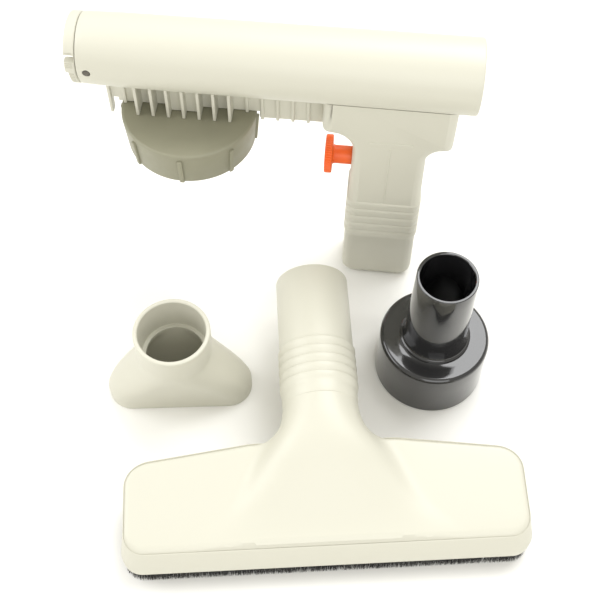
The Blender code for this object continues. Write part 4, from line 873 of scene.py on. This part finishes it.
class GUN_OT_cap(bpy.types.Operator):
    """Model the jar cap with its grip bars"""

    bl_idname = "attachments.gun_cap"
    bl_label = "Jar cap"

    def execute(self, context):
        s = context.scene.attachment_gun
        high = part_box("jar_cap")[1]
        centre = middle("jar_cap")
        top = high.z
        bottom = top - s.cap_height
        hole = 0.0034 + HAIR
        r, lower = s.cap_radius, s.cap_lower_radius
        profile = [(hole, top - 0.0004), (hole + 0.0004, top), (r - 0.0022, top),
                   *arc((r - 0.0016, top - 0.0016), 0.0016, 90, 2, 7), (r - 0.0002, top - 0.0045),
                   (lower + 0.0002, bottom + 0.0009), (lower - 0.0001, bottom + 0.0003),
                   (lower - 0.0006, bottom), (lower - 0.0020, bottom), (lower - 0.0024, bottom + 0.0004),
                   (r - 0.0026, top - 0.0034), (r - 0.0032, top - 0.0026), (hole + 0.0004, top - 0.0026),
                   (hole, top - 0.0022)]
        item = turned("gun_jar_cap", profile, 160)
        bars = []
        for index in range(s.cap_bars):
            bar = block("cap_bar", (lower - 0.0012, -0.0015, bottom + 0.0002),
                        (r + 0.0014, 0.0015, top - 0.0040))
            for vert in bar.data.vertices:
                if vert.co.x > r and vert.co.z < (top + bottom) / 2:
                    vert.co.x -= r - lower
            soften(bar, 0.0005, 3)
            bar.matrix_world = Matrix.Rotation(2 * math.pi * index / s.cap_bars, 4, "Z")
            settle(bar)
            bars.append(bar)
        carve(item, *bars, operation="UNION")
        smooth(item, 30)
        turn = gun_frame(s.barrel_length).to_3x3().to_4x4()
        settle(item, Matrix.Translation((centre.x, centre.y, 0)) @ turn)
        # The cap's finish is the shell grey painted lighter, to offset the barrel's shadow on it.
        hand_over(item, "grey_jar_cap_painted_light", "cap", ["jar_cap"])
        return {"FINISHED"}


class GUN_OT_inner_parts(bpy.types.Operator):
    """Finish the pins, screws, guide, valve, pipes, spring and gasket"""

    bl_idname = "attachments.gun_inner_parts"
    bl_label = "Small and inner parts"

    def execute(self, context):
        made = [
            ("front_pin_near", "gun_pin_near", "dark_pin", "spray_gun", "steel", 0.0004),
            ("front_pin_far", "gun_pin_far", "dark_pin", "spray_gun", "steel", 0.0004),
            ("feed_pipe", "gun_feed_pipe", "grey_inner", "spray_gun", "dark_grey", 0.0),
            ("cap_retainer", "gun_cap_retainer", "grey_inner", "spray_gun", "dark_grey", 0.0004),
            ("spray_tip", "gun_spray_tip", "orange_trigger", "spray_gun", "orange", 0.0003),
            ("trigger_guide", "gun_trigger_guide", "grey_inner", "spray_gun", "dark_grey", 0.0002),
            ("valve_body", "gun_valve_body", "grey_inner", "spray_gun", "dark_grey", 0.0004),
            ("valve_seal", "gun_valve_seal", "gasket_rubber", "spray_gun", "rubber", 0.0002),
            ("vent_pipe", "gun_vent_pipe", "grey_inner", "spray_gun", "dark_grey", 0.0),
            ("trigger_spring", "gun_trigger_spring", "screw_steel", "spray_gun", "steel", 0.0),
            ("trigger_rod", "gun_trigger_rod", "grey_inner", "trigger", "dark_grey", 0.0003),
            ("cap_gasket", "gun_cap_gasket", "gasket_rubber", "cap", "rubber", 0.0003),
        ]
        made += [(f"grip_screw_{i}", f"gun_grip_screw_{i}", "screw_steel", "spray_gun", "steel", 0.0003)
                 for i in (1, 2, 3, 4)]
        for node, name, finish, body, slot, width in made:
            item = copy_of(node, name)
            if "screw" in node:
                low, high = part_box(node)
                centre = (low + high) / 2
                to_gun = gun_frame(context.scene.attachment_gun.barrel_length)
                local = to_gun.inverted() @ centre
                settle(item, to_gun.inverted())
                far = max(v.co.y for v in item.data.vertices)
                for angle in (45, -45):
                    slot_cut = block("cross", (-0.0016, far - 0.0010, -0.0003), (0.0016, far + 0.001, 0.0003))
                    slot_cut.matrix_world = Matrix.Translation((local.x, 0, local.z)) @ Matrix.Rotation(
                        math.radians(angle), 4, "Y")
                    settle(slot_cut)
                    carve(item, slot_cut)
                settle(item, to_gun)
            elif width:
                soften(item, width, 2, 40)
            smooth(item, 40)
            hand_over(item, finish, body, [node])
        return {"FINISHED"}


# ---------------------------------------------------------------- floor brush
def head_corners(s, shrink=0.0):
    """Plan of the brush head, anticlockwise."""
    half, rear = s.width / 2, s.width / 2 - 0.0030
    corners = [(-half, 0.0, 0.0130), (half, 0.0, 0.0130), (rear, s.depth, 0.0180),
               (0.0450, s.depth + s.bulge, 0.0300), (-0.0450, s.depth + s.bulge, 0.0300),
               (-rear, s.depth, 0.0180)]
    return inset(corners, shrink) if shrink else corners


def lean_share(s, height):
    """How far up the leaning part of the head a height is, from 0 at its foot to 1 at the crease."""
    foot = s.skirt + s.upright
    return np.clip((height - foot) / (s.crease - foot), 0.0, 1.0)


def leaned(s, x, y, height):
    """A point of the skirt's plan, drawn in by the lean of the front and of the front corners."""
    share = float(lean_share(s, height)) * max(0.0, 1 - y / s.depth)
    return (x * (1 - share * s.side_lean / (s.width / 2)), y + share * s.front_lean, height)


def plan_distance(outline, x, y):
    """Signed distance, inside negative, from level points to a closed outline."""
    a = np.array([tuple(p) for p in outline])
    b = np.roll(a, -1, axis=0)
    edge = b - a
    best = np.full(len(x), 1e9)
    inside = np.zeros(len(x), bool)
    for (ax, ay), (ex, ey), (_, by) in zip(a, edge, b):
        px, py = x - ax, y - ay
        share = np.clip((px * ex + py * ey) / (ex * ex + ey * ey), 0, 1)
        best = np.minimum(best, (px - share * ex) ** 2 + (py - share * ey) ** 2)
        if ay != by:
            crosses = ((ay > y) != (by > y)) & (x < ex * (y - ay) / ey + ax)
            inside ^= crosses
    best = np.sqrt(best)
    return np.where(inside, -best, best)


class HeadShape:
    """The brush's head and neck as one smooth field: below zero is inside."""

    def __init__(self, s, shrink, floor, edge, blend, dip):
        self.s, self.shrink, self.floor, self.edge, self.blend, self.dip = s, shrink, floor, edge, blend, dip
        self.outline = rounded(head_corners(s, shrink), 16)
        end = s.depth + s.bulge + 0.027
        low, high = s.neck_height - s.neck_radius, s.neck_height + s.neck_radius
        base = s.skirt + 0.001
        roof = s.crease + s.rise
        #        place,            half width,          bottom,                    top,            squareness
        rows = [(-0.010, s.neck_radius * 2.5, base, s.crease - 0.004, 2.6),
                (0.010, s.neck_radius * 2.45, base, s.crease - 0.001, 2.6),
                (s.depth * 0.3, s.neck_radius * 2.35, base, s.crease + 0.0030, 2.6),
                (s.depth * 0.6, s.neck_radius * 2.0, base, roof + 0.0065, 2.5),
                (s.depth, s.neck_radius * 1.55, base, high - 0.0055, 2.3),
                (s.depth + s.bulge + 0.004, s.neck_radius * 1.20, low * 0.8 + base * 0.2, high - 0.0018, 2.1),
                (s.depth + s.bulge + 0.0135, s.neck_radius * 1.05, low, high - 0.0004, 2.0),
                (end, s.neck_radius, low, high, 2.0), (0.300, s.neck_radius, low, high, 2.0)]
        self.rows = np.array(rows)

    def flare(self, p):
        """Field of the flare and neck alone."""
        y = p[:, 1]
        half, low, high, power = (self.smooth_row(y, column) for column in (1, 2, 3, 4))
        half, low, high = half - self.shrink, low + self.shrink, high - self.shrink
        middle, tall = (low + high) / 2, (high - low) / 2
        u, v = np.abs(p[:, 0]) / half, np.abs(p[:, 2] - middle) / tall
        reach = np.maximum((u ** power + v ** power) ** (1 / power), 1e-6)
        less = power - 1
        slope = np.sqrt((u ** less / half) ** 2 + (v ** less / tall) ** 2) / reach ** less
        return (reach - 1) / np.maximum(slope, 1e-6)

    def smooth_row(self, y, column):
        """One column of the flare's table with soft corners."""
        total = 0.0
        for shift in (-0.006, -0.003, 0.0, 0.003, 0.006):
            total = total + np.interp(y + shift, self.rows[:, 0], self.rows[:, column])
        return total / 5

    def field(self, p):
        s = self.s
        share = lean_share(s, p[:, 2])
        rest = np.clip((s.depth - p[:, 1]) / (s.depth - s.front_lean * share), 0.0, None)
        across = p[:, 0] / (1 - share * np.minimum(rest, 1.0) * s.side_lean / (s.width / 2))
        plan = plan_distance(self.outline, across, p[:, 1] - share * s.front_lean * rest)
        roof = s.crease + s.rise * p[:, 1] / s.depth - self.shrink
        roof = roof - self.dip * np.exp(-np.maximum(-plan, 0) / 0.006)
        above = (p[:, 2] - roof) * 0.98
        a, b = plan + self.edge, above + self.edge
        head = np.hypot(np.maximum(a, 0), np.maximum(b, 0)) + np.minimum(np.maximum(a, b), 0) - self.edge
        flare = self.flare(p)
        mix = np.clip(0.5 + 0.5 * (flare - head) / self.blend, 0, 1)
        joined = flare * (1 - mix) + head * mix - self.blend * mix * (1 - mix)
        joined = np.maximum(joined, self.shrink + s.front_lean * share - p[:, 1])
        return np.maximum(joined, self.floor - p[:, 2])

    def settle_onto(self, mesh, rounds=5, limit=None):
        """Move the vertices onto the field's surface, except those on the flat bottom and cut ends."""
        p = np.zeros(len(mesh.vertices) * 3)
        mesh.vertices.foreach_get("co", p)
        p = p.reshape(-1, 3)
        free = p[:, 2] > self.floor + 0.0004
        if limit is not None:
            free &= p[:, 1] < limit - 0.0004
        step = 2e-5
        for _ in range(rounds):
            q = p[free]
            value = self.field(q)
            slope = np.stack([(self.field(q + step * axis) - self.field(q - step * axis)) / (2 * step)
                              for axis in np.eye(3)], axis=1)
            size = np.maximum((slope ** 2).sum(1), 0.05)
            q = q - np.clip(value / size, -0.0015, 0.0015)[:, None] * slope
            p[free] = q
        mesh.vertices.foreach_set("co", p.astype(np.float32).ravel())
        mesh.update()


def head_body(name, s, shrink, floor, edge, blend, dip, cell, end):
    """A closed solid of the brush's head and the start of its neck, remeshed and drawn onto the field."""
    shape = HeadShape(s, shrink, floor, edge, blend, dip)
    outline = rounded(head_corners(s, shrink), 10)
    foot = s.skirt + s.upright
    slab = loft(name, [[(x, y, floor) for x, y in outline], [(x, y, foot) for x, y in outline],
                       [leaned(s, x, y, s.crease + s.rise * y / s.depth - shrink) for x, y in outline]])
    sections = []
    for y in np.linspace(0.002, end, 28):
        half, low, high, power = (float(shape.smooth_row(np.array([y]), c)[0]) for c in (1, 2, 3, 4))
        half, low, high = half - shrink, low + shrink, high - shrink
        ring = []
        for index in range(48):
            angle = 2 * math.pi * (index + 0.5) / 48
            across = math.copysign(abs(math.cos(angle)) ** (2 / power), math.cos(angle))
            up = math.copysign(abs(math.sin(angle)) ** (2 / power), math.sin(angle))
            ring.append((half * across, y, max((low + high) / 2 + (high - low) / 2 * up, floor)))
        sections.append(ring)
    flare = loft(name + "_flare", sections)
    pick(slab)
    flare.select_set(True)
    bpy.ops.object.join()
    apply(slab, "REMESH", mode="VOXEL", voxel_size=cell, adaptivity=0.0)
    shape.settle_onto(slab.data, 6, end)
    apply(slab, "SMOOTH", factor=0.4, iterations=3)
    shape.settle_onto(slab.data, 3, end)
    edit(slab)
    bpy.ops.mesh.bisect(plane_co=(0, end - cell * 1.5, 0), plane_no=(0, 1, 0), clear_outer=True,
                        use_fill=True)
    bpy.ops.mesh.select_all(action="SELECT")
    bpy.ops.mesh.bisect(plane_co=(0, 0, floor + 0.0006), plane_no=(0, 0, -1), clear_outer=True, use_fill=True)
    done()
    return slab


class BRUSH_OT_housing(bpy.types.Operator):
    """Model the moulded head and neck with the lip line and the neck's rings"""

    bl_idname = "attachments.brush_housing"
    bl_label = "Brush housing"

    def execute(self, context):
        s = context.scene.attachment_brush
        end = 0.0985
        item = head_body("brush_shell", s, 0.0007, s.skirt + 0.004, 0.0022, 0.012, 0.0006, 0.00115, end)
        foot = s.skirt + s.upright
        band = []
        for height, drop, amount in ((s.skirt, 0, 0.0003), (s.skirt + 0.0003, 0, 0.0), (foot, 0, 0.0),
                                     (None, 0.0026, 0.0), (None, 0.0022, 0.0001), (None, 0.0020, 0.0004),
                                     (None, 0.0050, s.wall), (foot, 0, s.wall), (s.skirt, 0, s.wall)):
            outline = even_outline(head_corners(s, amount), 0.002)
            band.append([leaned(s, x, y, s.crease + s.rise * y / s.depth - drop if height is None else height)
                         for x, y in outline])
        count = min(len(row) for row in band)
        sections = []
        for row in band:
            pace = len(row) / count
            sections.append([row[int(i * pace)] for i in range(count)])
        lip = loft("lip", sections, ring=True)
        carve(item, lip, operation="UNION")
        r = s.neck_radius
        profile = [(0.0, s.neck_length), (r - 0.0016, s.neck_length),
                   *arc((r - 0.0014, s.neck_length - 0.0014), 0.0014, 90, 0, 6)]
        pitch, first = 0.0062, s.depth + s.bulge + 0.0335
        for index in reversed(range(5)):
            start = first + index * pitch - pitch / 2
            for share, proud in ((1.0, 0.0), (0.93, 0.0007), (0.86, 0.00105), (0.70, 0.00110), (0.50, 0.0009),
                                 (0.25, 0.0005), (0.05, 0.0)):
                profile.append((r + proud, start + pitch * share))
        profile += [(r, end + 0.0005), (r, end - 0.004), (r - 0.0006, end - 0.0062), (0.0, end - 0.0062)]
        neck = turned("neck", profile, 128)
        settle(neck, along_y(s.neck_height))
        carve(item, neck, operation="UNION")
        inside = head_body("inside", s, s.wall + 0.0002, s.skirt - 0.004, 0.0020, 0.010, 0.0, 0.0020, end)
        bore = turned("bore", [(0.0, s.neck_length + 0.004),
                               (r - s.neck_wall + 0.0008, s.neck_length + 0.004),
                               (r - s.neck_wall + 0.0008, s.neck_length),
                               (r - s.neck_wall, s.neck_length - 0.0010),
                               (r - s.neck_wall - 0.0001, end - 0.006), (0.0, end - 0.006)], 96)
        settle(bore, along_y(s.neck_height))
        carve(item, inside, bore)
        matrix = brush_frame(s.neck_length)
        for index in (1, 2, 3, 4):
            low, high = local_box(f"base_screw_{index}", matrix)
            x, y = (low.x + high.x) / 2, (low.y + high.y) / 2
            plate = local_box("brush_base", matrix)[1].z
            boss = peg("boss", 0.0038, 0.014, (x, y, plate + HAIR + 0.007), segments=24)
            hole = peg("boss_hole", 0.0018, 0.020, (x, y, high.z - 0.0095), segments=20)
            carve(item, boss, operation="UNION")
            carve(item, hole)
        item.name = item.data.name = "brush_shell"
        smooth(item, 30)
        settle(item, matrix)
        hand_over(item, "grey_shell", "floor_brush", ["brush_housing"])
        return {"FINISHED"}


class BRUSH_OT_base(bpy.types.Operator):
    """Finish the base plate and its screws"""

    bl_idname = "attachments.brush_base"
    bl_label = "Base plate"

    def execute(self, context):
        s = context.scene.attachment_brush
        matrix = brush_frame(s.neck_length)
        item = copy_of("brush_base", "brush_base_plate")
        soften(item, 0.0004, 2, 40)
        smooth(item, 35)
        hand_over(item, "grey_inner", "floor_brush", ["brush_base"])
        for index in (1, 2, 3, 4):
            node = f"base_screw_{index}"
            low, high = local_box(node, matrix)
            screw = copy_of(node, f"brush_screw_{index}")
            settle(screw, matrix.inverted())
            for angle in (20, 110):
                cross = block("cross", (-0.0017, -0.0003, low.z - 0.001), (0.0017, 0.0003, low.z + 0.0010))
                cross.matrix_world = Matrix.Translation(((low.x + high.x) / 2, (low.y + high.y) / 2, 0)
                                                        ) @ Matrix.Rotation(math.radians(angle), 4, "Z")
                settle(cross)
                carve(screw, cross)
            smooth(screw, 40)
            settle(screw, matrix)
            hand_over(screw, "screw_steel", "floor_brush", [node])
        return {"FINISHED"}


class BRUSH_OT_bristles(bpy.types.Operator):
    """Plant the bristle strands under the skirt"""

    bl_idname = "attachments.brush_bristles"
    bl_label = "Bristles"

    def strip(self, s, name, front, seed):
        """One length of bristles: thin three-sided strands that splay a little and end unevenly."""
        dice = random.Random(seed)
        top = local_box("bristle_front", brush_frame(s.neck_length))[1].z
        rows = []
        for depth in np.linspace(0.0003, 0.0056, 9):
            outline = even_outline(head_corners(s, s.wall + HAIR + depth), 0.0004)
            count = len(outline)
            rows.append([(p, outline[(i + 1) % count] - outline[i - 1]) for i, p in enumerate(outline)])
        split = s.depth / 2
        verts, faces = [], []
        made = 0
        while made < s.strands:
            row_index = dice.randrange(len(rows))
            place, run = dice.choice(rows[row_index])
            if (place.y < split - 0.0002) != front or abs(place.y - split) < 0.0005:
                continue
            made += 1
            out = Vector((run.y, -run.x)).normalized()
            side = run.normalized()
            outward = 1 - row_index / (len(rows) - 1)
            splay = min(dice.gauss(0.0006, 0.0008) + 0.0028 * outward ** 2, 0.0027)
            lean = out * splay + side * dice.gauss(0, 0.0009)
            tip = abs(dice.gauss(0.0, 0.0008)) + (0.0015 * dice.random() if dice.random() < 0.15 else 0)
            size = dice.uniform(0.00016, 0.00030)
            turn = dice.uniform(0, 2 * math.pi)
            root = Vector((place.x, place.y)) + side * dice.uniform(-0.0002, 0.0002)
            base = len(verts)
            for share, width in ((0.0, 1.0), (0.55, 0.95), (1.0, 0.35)):
                height = top + (tip - top) * share
                centre = root + lean * share ** 1.6
                for corner in range(3):
                    angle = turn + corner * 2 * math.pi / 3
                    verts.append((centre.x + size * width * math.cos(angle),
                                  centre.y + size * width * math.sin(angle), height))
            for level in (0, 3):
                for corner in range(3):
                    after = (corner + 1) % 3
                    faces.append((base + level + after, base + level + corner, base + level + 3 + corner,
                                  base + level + 3 + after))
            faces.append((base, base + 1, base + 2))
            faces.append((base + 8, base + 7, base + 6))
        mesh = bpy.data.meshes.new(name)
        mesh.from_pydata(verts, [], faces)
        item = bpy.data.objects.new(name, mesh)
        bpy.context.scene.collection.objects.link(item)
        settle(item, brush_frame(s.neck_length))
        return item

    def execute(self, context):
        s = context.scene.attachment_brush
        for name, node, front, seed in (("brush_bristles_front", "bristle_front", True, 3),
                                        ("brush_bristles_rear", "bristle_rear", False, 8)):
            item = self.strip(s, name, front, seed)
            hand_over(item, "bristle_hair", "floor_brush", [node])
        return {"FINISHED"}


# ---------------------------------------------------------------- upholstery nozzle
def stadium(z, half_width, half_depth, count=128):
    """A level section with round ends; equal halves make a circle."""
    section = []
    shift = half_width - half_depth
    for index in range(count):
        angle = 2 * math.pi * (index + 0.5) / count
        x = half_depth * math.cos(angle) + math.copysign(shift, math.cos(angle))
        section.append((x, half_depth * math.sin(angle), z))
    return section


class NOZZLE_OT_body(bpy.types.Operator):
    """Model the nozzle: collar, hose ledge and the flare to its wide mouth"""

    bl_idname = "attachments.nozzle_body"
    bl_label = "Nozzle"

    def execute(self, context):
        s = context.scene.attachment_nozzle
        half, depth, neck, wall = s.mouth_width / 2, s.mouth_depth / 2, s.neck_radius, s.wall
        under = neck - 0.0009
        collar, ledge = s.height - s.collar, s.height - s.ledge
        outer = [stadium(0.0, half - 0.0004, depth - 0.0004), stadium(0.0004, half, depth)]
        outer += [stadium(s.band * share, half, depth) for share in (0.5, 0.8)]
        low, high = s.band * 0.8, collar - 0.0035
        for step in range(1, 21):
            share = step / 20
            ease = share + (0.5 - 0.5 * math.cos(math.pi * share) - share) * 0.42
            outer.append(stadium(low + (high - low) * share, half + (under - half) * ease,
                                 depth + (under - depth) * ease))
        outer += [stadium(collar - 0.0003, under, under), stadium(collar, under + 0.0002, under + 0.0002),
                  stadium(collar + 0.0003, neck, neck)]
        for radius, height in reversed(arc((neck - 0.0012, s.height - 0.0012), 0.0012, 90, 0, 6)):
            outer.append(stadium(height, radius, radius))
        bore, throat = s.bore_radius, s.throat_radius
        inner = [stadium(s.height, bore + 0.0006, bore + 0.0006), stadium(s.height - 0.0006, bore, bore),
                 stadium(ledge + 0.0003, bore - 0.0004, bore - 0.0004),
                 stadium(ledge, bore - 0.0007, bore - 0.0007),
                 stadium(ledge, throat + 0.0004, throat + 0.0004),
                 stadium(ledge - 0.0004, throat, throat), stadium(ledge - 0.0030, throat, throat)]
        for step in range(1, 13):
            share = step / 12
            ease = share + (0.5 - 0.5 * math.cos(math.pi * share) - share) * 0.42
            inner.append(stadium(ledge - 0.003 + (s.band - ledge + 0.003) * share,
                                 throat + (half - wall - throat) * ease,
                                 throat + (depth - wall - throat) * ease))
        inner += [stadium(0.0004, half - wall, depth - wall),
                  stadium(0.0, half - wall + 0.0004, depth - wall + 0.0004)]
        item = loft("nozzle_body", outer + inner, ring=True)
        key = block("key", (0.0195, -0.0010, ledge), (0.0222, 0.0010, ledge + 0.0020))
        carve(item, key, operation="UNION")
        smooth(item, 30)
        settle(item, nozzle_frame())
        hand_over(item, "grey_shell", "nozzle", ["upholstery_nozzle"])
        return {"FINISHED"}


# ---------------------------------------------------------------- hose adapter
class ADAPTER_OT_body(bpy.types.Operator):
    """Model the glossy adapter: cup, ring, concave fillet and tube"""

    bl_idname = "attachments.adapter_body"
    bl_label = "Adapter"

    def execute(self, context):
        s = context.scene.attachment_adapter
        top, foot = s.tube_top_radius, s.tube_radius
        seat = s.cup_height + 0.0018
        profile = [(top - s.wall + 0.0005, s.height), (top - 0.0006, s.height),
                   *arc((top - 0.0006, s.height - 0.0006), 0.0006, 80, 0, 4)]
        profile += [(top + (foot - top) * share, s.height + (seat + 0.010 - s.height) * share)
                    for share in (0.2, 0.4, 0.6, 0.8)]
        reach = s.ring_radius - 0.0006 - foot
        for step in range(11):
            angle = math.pi / 2 * step / 10
            profile.append((s.ring_radius - 0.0006 - reach * math.cos(angle),
                            seat + 0.0002 + 0.010 * (1 - math.sin(angle))))
        profile += [(s.ring_radius - 0.0002, seat), (s.ring_radius, seat - 0.0004),
                    (s.ring_radius, s.cup_height + 0.0001),
                    (s.ring_radius + 0.0003, s.cup_height)]
        profile += [(s.ring_radius + (s.cup_top_radius - 0.0032 - s.ring_radius) * share,
                     s.cup_height - 0.0002 * share)
                    for share in (0.4, 0.8)]
        profile += arc((s.cup_top_radius - 0.0030, s.cup_height - 0.0032), 0.0030, 88, 0, 9)
        profile += [(s.cup_top_radius + (s.cup_radius - s.cup_top_radius) * share,
                     (s.cup_height - 0.0032) * (1 - share) + 0.0005 * share)
                    for share in (0.33, 0.66, 1.0)]
        profile += [(s.cup_radius - 0.0005, 0.0), (s.cup_radius - s.wall + 0.0004, 0.0),
                    (s.cup_radius - s.wall, 0.0005),
                    (s.cup_top_radius - s.wall, s.cup_height - s.wall - 0.0032),
                    *arc((s.cup_top_radius - s.wall - 0.0020, s.cup_height - s.wall - 0.0022),
                         0.0020, 0, 90, 5),
                    (foot - s.wall + 0.0008, s.cup_height - s.wall),
                    (foot - s.wall, s.cup_height - s.wall + 0.0008),
                    (top - s.wall, s.height - 0.0005)]
        item = turned("adapter_body", profile, 128)
        smooth(item, 30)
        settle(item, adapter_frame())
        hand_over(item, "black_adapter", "adapter", ["hose_adapter"])
        return {"FINISHED"}


# ---------------------------------------------------------------- stage
class STAGE_OT_build(bpy.types.Operator):
    """Lay the pale table, hang the soft lights and set the camera"""

    bl_idname = "attachments.stage"
    bl_label = "Stage"

    def lamp(self, name, place, aim, size, power, colour):
        """A soft square light that looks at a point."""
        light = bpy.data.lights.new(name, "AREA")
        light.size = size
        light.energy = power
        light.color = colour
        item = bpy.data.objects.new(name, light)
        item.location = place
        item.rotation_euler = (Vector(aim) - Vector(place)).to_track_quat("-Z", "Y").to_euler()
        bpy.context.scene.collection.objects.link(item)

    def execute(self, context):
        deselect()
        bpy.ops.mesh.primitive_plane_add(size=8.0, location=(0, 0, -0.0002))
        floor = bpy.context.object
        floor.name = floor.data.name = "table_top"
        settle(floor)
        floor.data.materials.append(pale_floor("table_top", context.scene.attachment_finishes.floor))
        world = bpy.data.worlds.new("soft_room")
        context.scene.world = world
        world.use_nodes = True
        back = world.node_tree.nodes["Background"]
        back.inputs["Color"].default_value = (1.0, 0.975, 0.90, 1.0)
        back.inputs["Strength"].default_value = 0.85
        self.lamp("key_light", (0.45, 0.55, 1.25), (0.0, 0.05, 0.05), 0.9, 13.0, (0.975, 0.985, 1.0))
        self.lamp("left_light", (-0.95, 0.10, 0.85), (0.0, 0.0, 0.05), 0.8, 6.0, (0.975, 0.985, 1.0))
        self.lamp("front_light", (0.2, -1.1, 0.75), (0.0, 0.0, 0.05), 0.9, 5.0, (0.975, 0.985, 1.0))
        context.scene.view_settings.view_transform = "Standard"
        context.scene.view_settings.look = "None"
        elevation, roll, distance = math.radians(57.7), math.radians(1.0), 0.742
        sizes = context.scene.attachment_gun
        aim = gun_frame(sizes.barrel_length) @ Vector((sizes.grip_centre, 0, 0)) - Vector((0.0552, 0.0399, 0))
        aim.z = 0.0
        place = aim + distance * Vector((0, -math.cos(elevation), math.sin(elevation)))
        forward = (aim - place).normalized()
        right = forward.cross(Vector((0, 0, 1))).normalized()
        up = right.cross(forward)
        turned_right = right * math.cos(roll) + up * math.sin(roll)
        turned_up = up * math.cos(roll) - right * math.sin(roll)
        camera = bpy.data.objects.new("camera", bpy.data.cameras.new("camera"))
        context.scene.collection.objects.link(camera)
        camera.matrix_world = Matrix.Translation(place) @ Matrix(
            (turned_right, turned_up, -forward)).transposed().to_4x4()
        camera.data.lens = 61.76
        camera.data.sensor_width = 36.0
        camera.data.clip_start, camera.data.clip_end = 0.01, 20.0
        context.scene.camera = camera
        return {"FINISHED"}


# ---------------------------------------------------------------- panel and registration
PIECES = (GUN_OT_barrel, GUN_OT_front_ring, GUN_OT_rail, GUN_OT_grip, GUN_OT_trigger, GUN_OT_cap,
          GUN_OT_inner_parts, BRUSH_OT_housing, BRUSH_OT_base, BRUSH_OT_bristles, NOZZLE_OT_body,
          ADAPTER_OT_body, STAGE_OT_build)
GROUPS = (("attachment_finishes", AttachmentFinishes), ("attachment_gun", GunSizes),
          ("attachment_brush", BrushSizes), ("attachment_nozzle", NozzleSizes),
          ("attachment_adapter", AdapterSizes))


class ATTACHMENTS_PT_panel(bpy.types.Panel):
    """Sizes, colours and pieces of the attachment set"""

    bl_idname = "ATTACHMENTS_PT_panel"
    bl_label = "Vacuum attachment set"
    bl_space_type = "VIEW_3D"
    bl_region_type = "UI"
    bl_category = "Attachments"

    def draw(self, context):
        layout = self.layout
        for attribute, group in GROUPS:
            box = layout.box()
            box.label(text=group.__doc__)
            for key in group.__annotations__:
                box.prop(getattr(context.scene, attribute), key)
        for piece in PIECES:
            layout.operator(piece.bl_idname)


CLASSES = tuple(group for _, group in GROUPS) + PIECES + (ATTACHMENTS_PT_panel,)


def register():
    """Register the classes and hang the property groups on the scene."""
    for item in CLASSES:
        bpy.utils.register_class(item)
    for attribute, group in GROUPS:
        setattr(bpy.types.Scene, attribute, PointerProperty(type=group))


def unregister():
    """Take the property groups and the classes away."""
    for attribute, _ in GROUPS:
        delattr(bpy.types.Scene, attribute)
    for item in reversed(CLASSES):
        bpy.utils.unregister_class(item)


def main():
    """Model every piece in order."""
    register()
    for piece in PIECES:
        family, action = piece.bl_idname.split(".")
        getattr(getattr(bpy.ops, family), action)()


if __name__ == "__main__":
    main()
